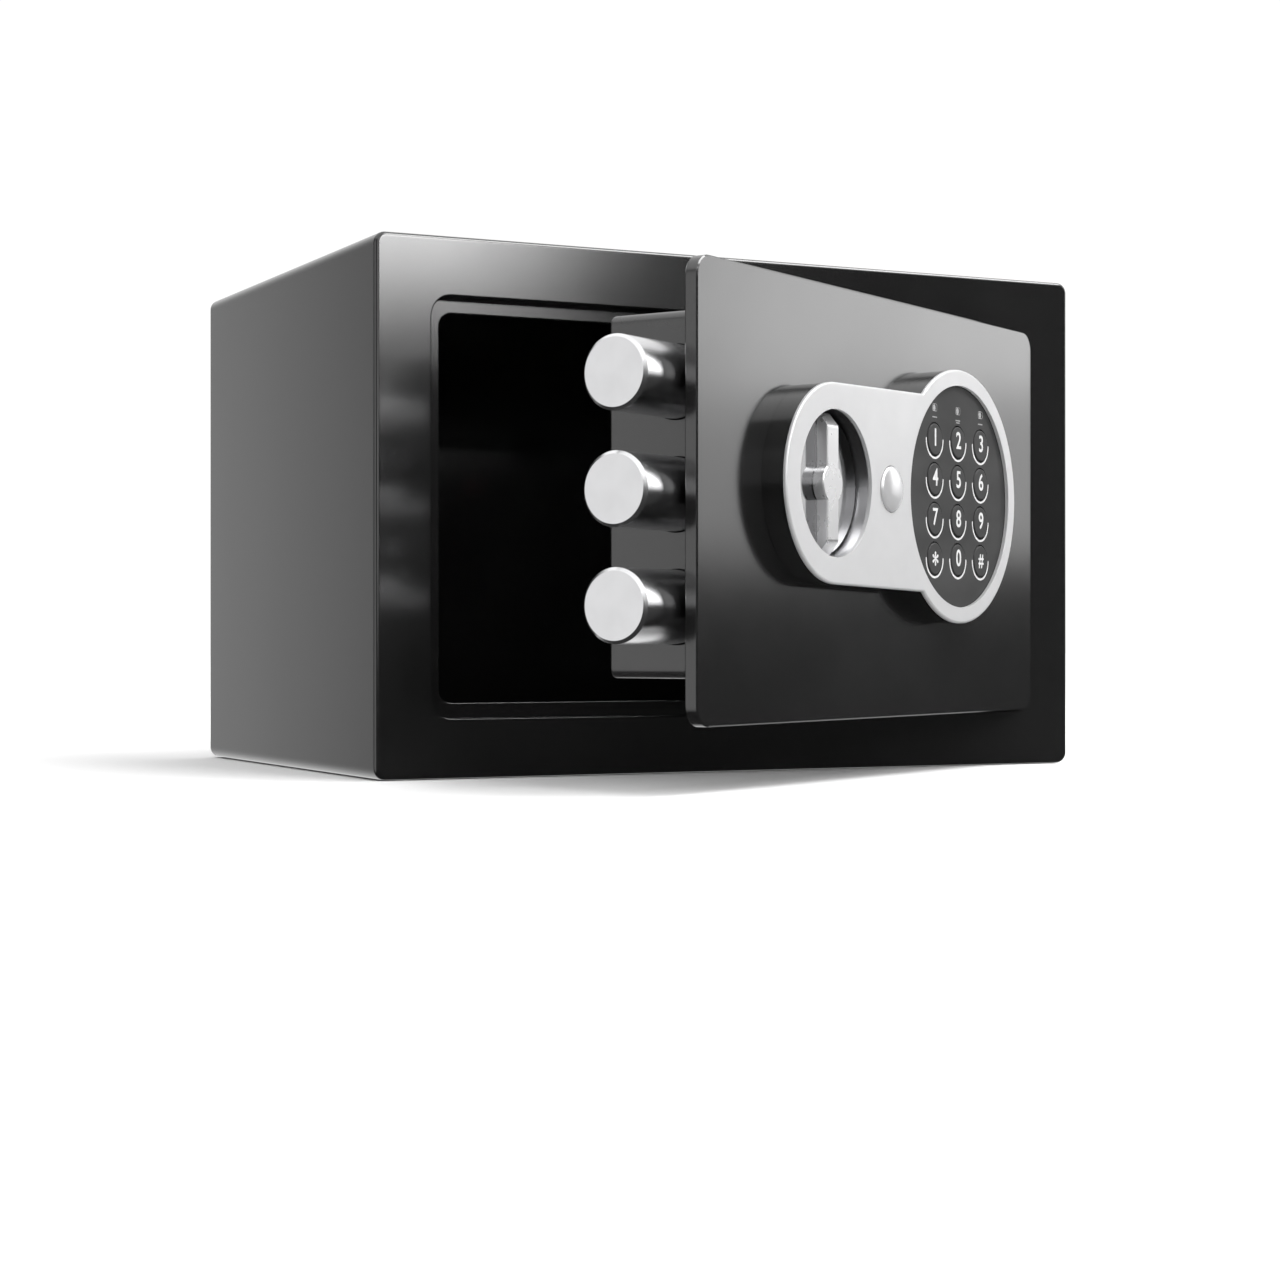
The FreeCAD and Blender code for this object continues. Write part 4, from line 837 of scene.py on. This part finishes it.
@dataclass
class Panel:
    """Silver face plate on its black housing, with the cup, the knob and the lock's cover."""

    face: FaceSpace
    dome_rise: float = 1.9 * MM
    dome_edge: float = 0.35 * MM
    base_depth: float = 2.7 * MM
    base_over: float = 0.25 * MM
    dome_sides: int = 96
    rim_sweep: float = 70.0
    rim_steps: int = 4
    crown_steps: int = 20
    crisp_angle: float = 50.0
    gloss: Moulded = Moulded("gloss_black", grey(0.006), rough=(0.14, 0.2), grain=500.0, depth=1.5e-6)

    def build(self) -> None:
        """Dress the panel's nodes and make the domed cover."""
        dress(["face_plate"], SilverTrim("silver_plate", self.face.matrix).build())
        dress(["keypad_housing"], self.gloss.build())
        ring = SilverTrim("silver_cup", self.face.matrix, metallic=1.0, colour=(0.5, 0.5, 0.51, 1),
                          rough=(0.24, 0.34), brush=(90, 90, 2600))
        dress(["knob_cup"], ring.build())
        dress(["knob"], KnobChrome("silver_knob", self.face.matrix, self.knob_step()).build())
        self.make_dome(SilverTrim("silver_dome", self.face.matrix, rough=(0.2, 0.28)).build())

    def knob_step(self) -> float:
        """Height over the door plate just above the front face of the knob's round base."""
        low, _ = self.face.extent("knob")
        return low.z + self.base_depth + self.base_over

    def make_dome(self, finish: bpy.types.Material) -> None:
        """Make the cover over the override lock: a shallow dome with a fine rounded rim.

        Args:
            finish: its material.
        """
        low, high = self.face.extent("lock_cover")
        radius = (high.x - low.x) / 2
        rim, crown = high.z - self.dome_rise - low.z, high.z - low.z
        edge = self.dome_edge
        profile = [(0, 0), (radius, 0), (radius, rim)]
        sweep = math.radians(self.rim_sweep)
        profile += [(radius - edge + edge * math.cos(sweep * step / self.rim_steps),
                     rim + edge * math.sin(sweep * step / self.rim_steps))
                    for step in range(1, self.rim_steps + 1)]
        inner, base = profile[-1]
        profile += [(inner * math.cos(math.pi / 2 * step / self.crown_steps),
                     base + (crown - base) * math.sin(math.pi / 2 * step / self.crown_steps))
                    for step in range(1, self.crown_steps + 1)]
        profile[-1] = (0, crown)
        shape = bmesh.new()
        Mesher.lathe(shape, profile, self.dome_sides)
        piece = Mesher.wrap("lock_dome", shape, angle=self.crisp_angle)
        place = self.face.at((low.x + high.x) / 2, (low.y + high.y) / 2, low.z)
        settle(piece, "lock_cover", finish, place)
        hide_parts("lock_cover")


@dataclass
class Keypad:
    """Keypad disc with twelve keys, their printed figures and arcs, and three status lamps."""

    face: FaceSpace
    figure_height: float = 6.5 * MM
    sign_height: float = 5.4 * MM
    ink_rise: float = 0.04 * MM
    figure_lift: float = 0.8 * MM
    arc_radius: float = 7.4 * MM
    arc_stroke: float = 0.75 * MM
    weight: float = 0.014
    film: Moulded = Moulded("keypad_film", grey(0.024), rough=(0.62, 0.72), grain=2600.0, level=0.25)
    key_plastic: Moulded = Moulded("key_plastic", grey(0.017), rough=(0.45, 0.55), grain=2600.0,
                                   level=0.3)
    ink: Ink = Ink("pale_ink", grey(0.5))
    dim_ink: Ink = Ink("dim_ink", grey(0.2))
    window: tuple[float, float] = (3.9 * MM, 2.9 * MM)
    line: float = 0.25 * MM
    bar_drop: float = 3.6 * MM
    bar_step: float = 3.4
    bar_weight: float = 1.8
    bar_round: float = 0.6
    bar_shorter: float = 0.25
    lens: Moulded = Moulded("lamp_lens", grey(0.1), rough=(0.12, 0.2), coat=0.6)
    signs: dict[str, str] = field(default_factory=lambda: {"star": "*", "hash": "#"})

    def build(self) -> None:
        """Dress the keypad's nodes and print its marks."""
        ink = self.ink.build()
        names = [name for name in frame["nodes"] if name.startswith("key_")]
        dress(["keypad_disc"], self.film.build())
        dress(names, self.key_plastic.build())
        dress(["status_lamps"], self.lens.build())
        _, disc_top = self.face.extent("keypad_disc")
        arcs = bmesh.new()
        for name in names:
            self.print_figure(name, ink)
            centre = self.face.centre(name)
            outline = [(x + centre.x, y + centre.y) for x, y in
                       Mesher.arc_band(self.arc_radius, self.arc_stroke, 180, 360)]
            Mesher.slab(arcs, outline, disc_top.z, disc_top.z + self.ink_rise)
        settle(Mesher.wrap("key_arcs", arcs, smooth=False), "door", ink, self.face.matrix)
        self.print_lamp_marks(disc_top.z)

    def print_lamp_marks(self, top: float) -> None:
        """Print a window round each lamp and one or two plain bars under it.

        Args:
            top: height of the film's front face over the door plate.
        """
        low, high = self.face.extent("status_lamps")
        rise = (low.y + high.y) / 2
        first = self.face.centre("key_1").x
        pitch = self.face.centre("key_2").x - first
        marks = bmesh.new()
        width, height = self.window
        for column in range(3):
            x = first + pitch * column
            outer = Mesher.rounded(width, height, height / 4)
            inner = Mesher.rounded(width - 2 * self.line, height - 2 * self.line, height / 8)
            Mesher.frame_band(marks, [(u + x, v + rise) for u, v in outer],
                              [(u + x, v + rise) for u, v in inner], top, top + self.ink_rise)
            for row in range(1 + column % 2):
                bar = Mesher.rounded(width * (1.0 - self.bar_shorter * row),
                                     self.line * self.bar_weight, self.line * self.bar_round, 3)
                drop = rise - self.bar_drop - row * self.line * self.bar_step
                Mesher.slab(marks, [(u + x, v + drop) for u, v in bar], top, top + self.ink_rise)
        settle(Mesher.wrap("lamp_marks", marks, smooth=False), "door", self.dim_ink.build(),
               self.face.matrix)

    def print_figure(self, node: str, ink: bpy.types.Material) -> None:
        """Print one key's figure on its cap.

        Args:
            node: name of the key's CAD node.
            ink: material of the figure.
        """
        word = node.split("_")[1]
        text = self.signs.get(word, word)
        plain = word in self.signs
        height = self.sign_height if plain else self.figure_height
        piece = Mesher.letter("figure_" + word, text, height, self.ink_rise, self.weight)
        centre = self.face.centre(node)
        lift = 0 if plain else self.figure_lift
        settle(piece, node, ink, self.face.at(centre.x, centre.y + lift, centre.z))


# ---------------------------------------------------------------- studio
@dataclass(frozen=True)
class Softbox:
    """Soft light panel that looks at the safe."""

    name: str
    place: tuple[float, float, float]
    aim: tuple[float, float, float]
    width: float
    height: float
    power: float

    def build(self) -> None:
        """Make the light."""
        data = bpy.data.lights.new(self.name, "AREA")
        data.shape = "RECTANGLE"
        data.size, data.size_y, data.energy = self.width, self.height, self.power
        item = bpy.data.objects.new(self.name, data)
        item.location = self.place
        item.rotation_euler = (Vector(self.aim) - Vector(self.place)).to_track_quat("-Z", "Y").to_euler()
        item.visible_camera = False
        bpy.context.scene.collection.objects.link(item)


@dataclass(frozen=True)
class Glow:
    """Stretch of the surroundings that shines more as a direction turns towards its axis."""

    axis: tuple[float, float, float]
    start: float
    end: float
    level: float


@dataclass
class Studio:
    """Pale floor, soft panels, bright surroundings behind the safe, and the camera."""

    floor_size: float = 14.0
    dome_radius: float = 9.0
    floor_drop: float = 0.3 * MM
    camera_place: tuple[float, float, float] = (-0.4663, -0.9571, 0.0511)
    camera_turn: float = 26.24
    lens: float = 70.0
    sensor: float = 36.0
    surround_light: float = 1.05
    glows: tuple[Glow, ...] = (
        Glow((0, 0, 1), 0.35, 0.7, 1.35),
        Glow((0.434, 0.9, 0), 0.56, 0.85, 1.0),
        Glow((-1, 0.05, 0), 0.8, 0.97, 1.0),
        Glow((0, -1, 0), -1.0, -0.9, 0.04),
    )
    boxes: tuple[Softbox, ...] = (
        Softbox("front_panel", (0.55, -2.3, 1.07), (0, -0.1, 0.15), 0.7, 1.1, 31),
        Softbox("right_panel", (2.5, 0.0, 1.02), (0, -0.15, 0.15), 0.9, 1.3, 11.5),
        Softbox("right_low_panel", (2.5, 0.0, 0.27), (0, -0.15, 0.15), 0.9, 0.22, 0.95),
        Softbox("top_strip", (0.85, -0.75, 1.75), (0, -0.1, 0.15), 1.8, 0.7, 31),
        Softbox("left_panel", (-0.9, -2.1, 0.7), (0, -0.1, 0.15), 0.9, 1.3, 7),
    )

    def build(self) -> None:
        """Make the floor, the lights, the surroundings and the camera."""
        for box in self.boxes:
            box.build()
        self.make_floor()
        self.make_backdrop()
        self.make_world()
        self.make_camera()
        bpy.context.scene.view_settings.view_transform = "Standard"

    def make_floor(self) -> None:
        """Flat floor just under the cabinet; polished surfaces reflect the studio, not the floor."""
        shape = bmesh.new()
        bmesh.ops.create_grid(shape, x_segments=4, y_segments=4, size=self.floor_size / 2)
        floor = Mesher.wrap("studio_floor", shape, smooth=False)
        floor.location.z = -self.floor_drop
        floor.data.materials.append(Backdrop().build())
        floor.visible_glossy = False

    def make_backdrop(self) -> None:
        """White surround that only the camera sees, so that the studio's dark side stays unseen."""
        shape = bmesh.new()
        bmesh.ops.create_icosphere(shape, subdivisions=4, radius=self.dome_radius)
        dome = Mesher.wrap("studio_surround", shape)
        graph = Graph("studio_white")
        tooth = graph.noise(graph.place(), 2, 2)
        graph.feed(Base_Color=grey(0), Specular_IOR_Level=0.0, Emission_Strength=self.surround_light,
                   Emission_Color=graph.blend(tooth, grey(1.0), grey(0.98)))
        dome.data.materials.append(graph.material)
        dome.visible_diffuse = dome.visible_glossy = False
        dome.visible_shadow = dome.visible_transmission = False

    def make_world(self) -> None:
        """White overhead, behind and to the left; dark on the camera's side."""
        world = bpy.data.worlds.new("studio")
        bpy.context.scene.world = world
        world.use_nodes = True
        nodes, links = world.node_tree.nodes, world.node_tree.links
        back = next(node for node in nodes if node.type == "BACKGROUND")
        spot = nodes.new("ShaderNodeTexCoord").outputs["Generated"]

        def shine(glow: Glow) -> Socket:
            """Add one glow.

            Args:
                glow: the glow.

            Returns:
                The socket with its light.
            """
            turn = nodes.new("ShaderNodeVectorMath")
            turn.operation = "DOT_PRODUCT"
            turn.inputs[1].default_value = Vector(glow.axis).normalized()
            links.new(spot, turn.inputs[0])
            fade = nodes.new("ShaderNodeMapRange")
            fade.interpolation_type = "SMOOTHSTEP"
            fade.inputs["From Min"].default_value = glow.start
            fade.inputs["From Max"].default_value = glow.end
            fade.inputs["To Max"].default_value = glow.level
            links.new(turn.outputs["Value"], fade.inputs["Value"])
            return fade.outputs["Result"]

        total = None
        for glow in self.glows:
            part = shine(glow)
            if total is None:
                total = part
                continue
            peak = nodes.new("ShaderNodeMath")
            peak.operation = "MAXIMUM"
            links.new(total, peak.inputs[0])
            links.new(part, peak.inputs[1])
            total = peak.outputs[0]
        back.inputs["Color"].default_value = grey(1.0)
        links.new(total, back.inputs["Strength"])

    def make_camera(self) -> None:
        """Camera low in front of the safe's left corner, looking level."""
        data = bpy.data.cameras.new("camera")
        data.lens = self.lens
        data.sensor_width = self.sensor
        data.clip_start, data.clip_end = 0.01, 100
        item = bpy.data.objects.new("camera", data)
        item.location = self.camera_place
        item.rotation_euler = (math.pi / 2, 0, -math.radians(self.camera_turn))
        bpy.context.scene.collection.objects.link(item)
        bpy.context.scene.camera = item


def main() -> None:
    """Build the studio and every sub-assembly in order, and report each piece."""
    logging.basicConfig(level=logging.INFO, format="%(message)s")
    face = FaceSpace.from_frame()
    Studio().build()
    for assembly in (Cabinet(), LockWork(face), Panel(face), Keypad(face)):
        LOG.info("building %s", type(assembly).__name__)
        assembly.build()


if __name__ == "__main__":
    main()
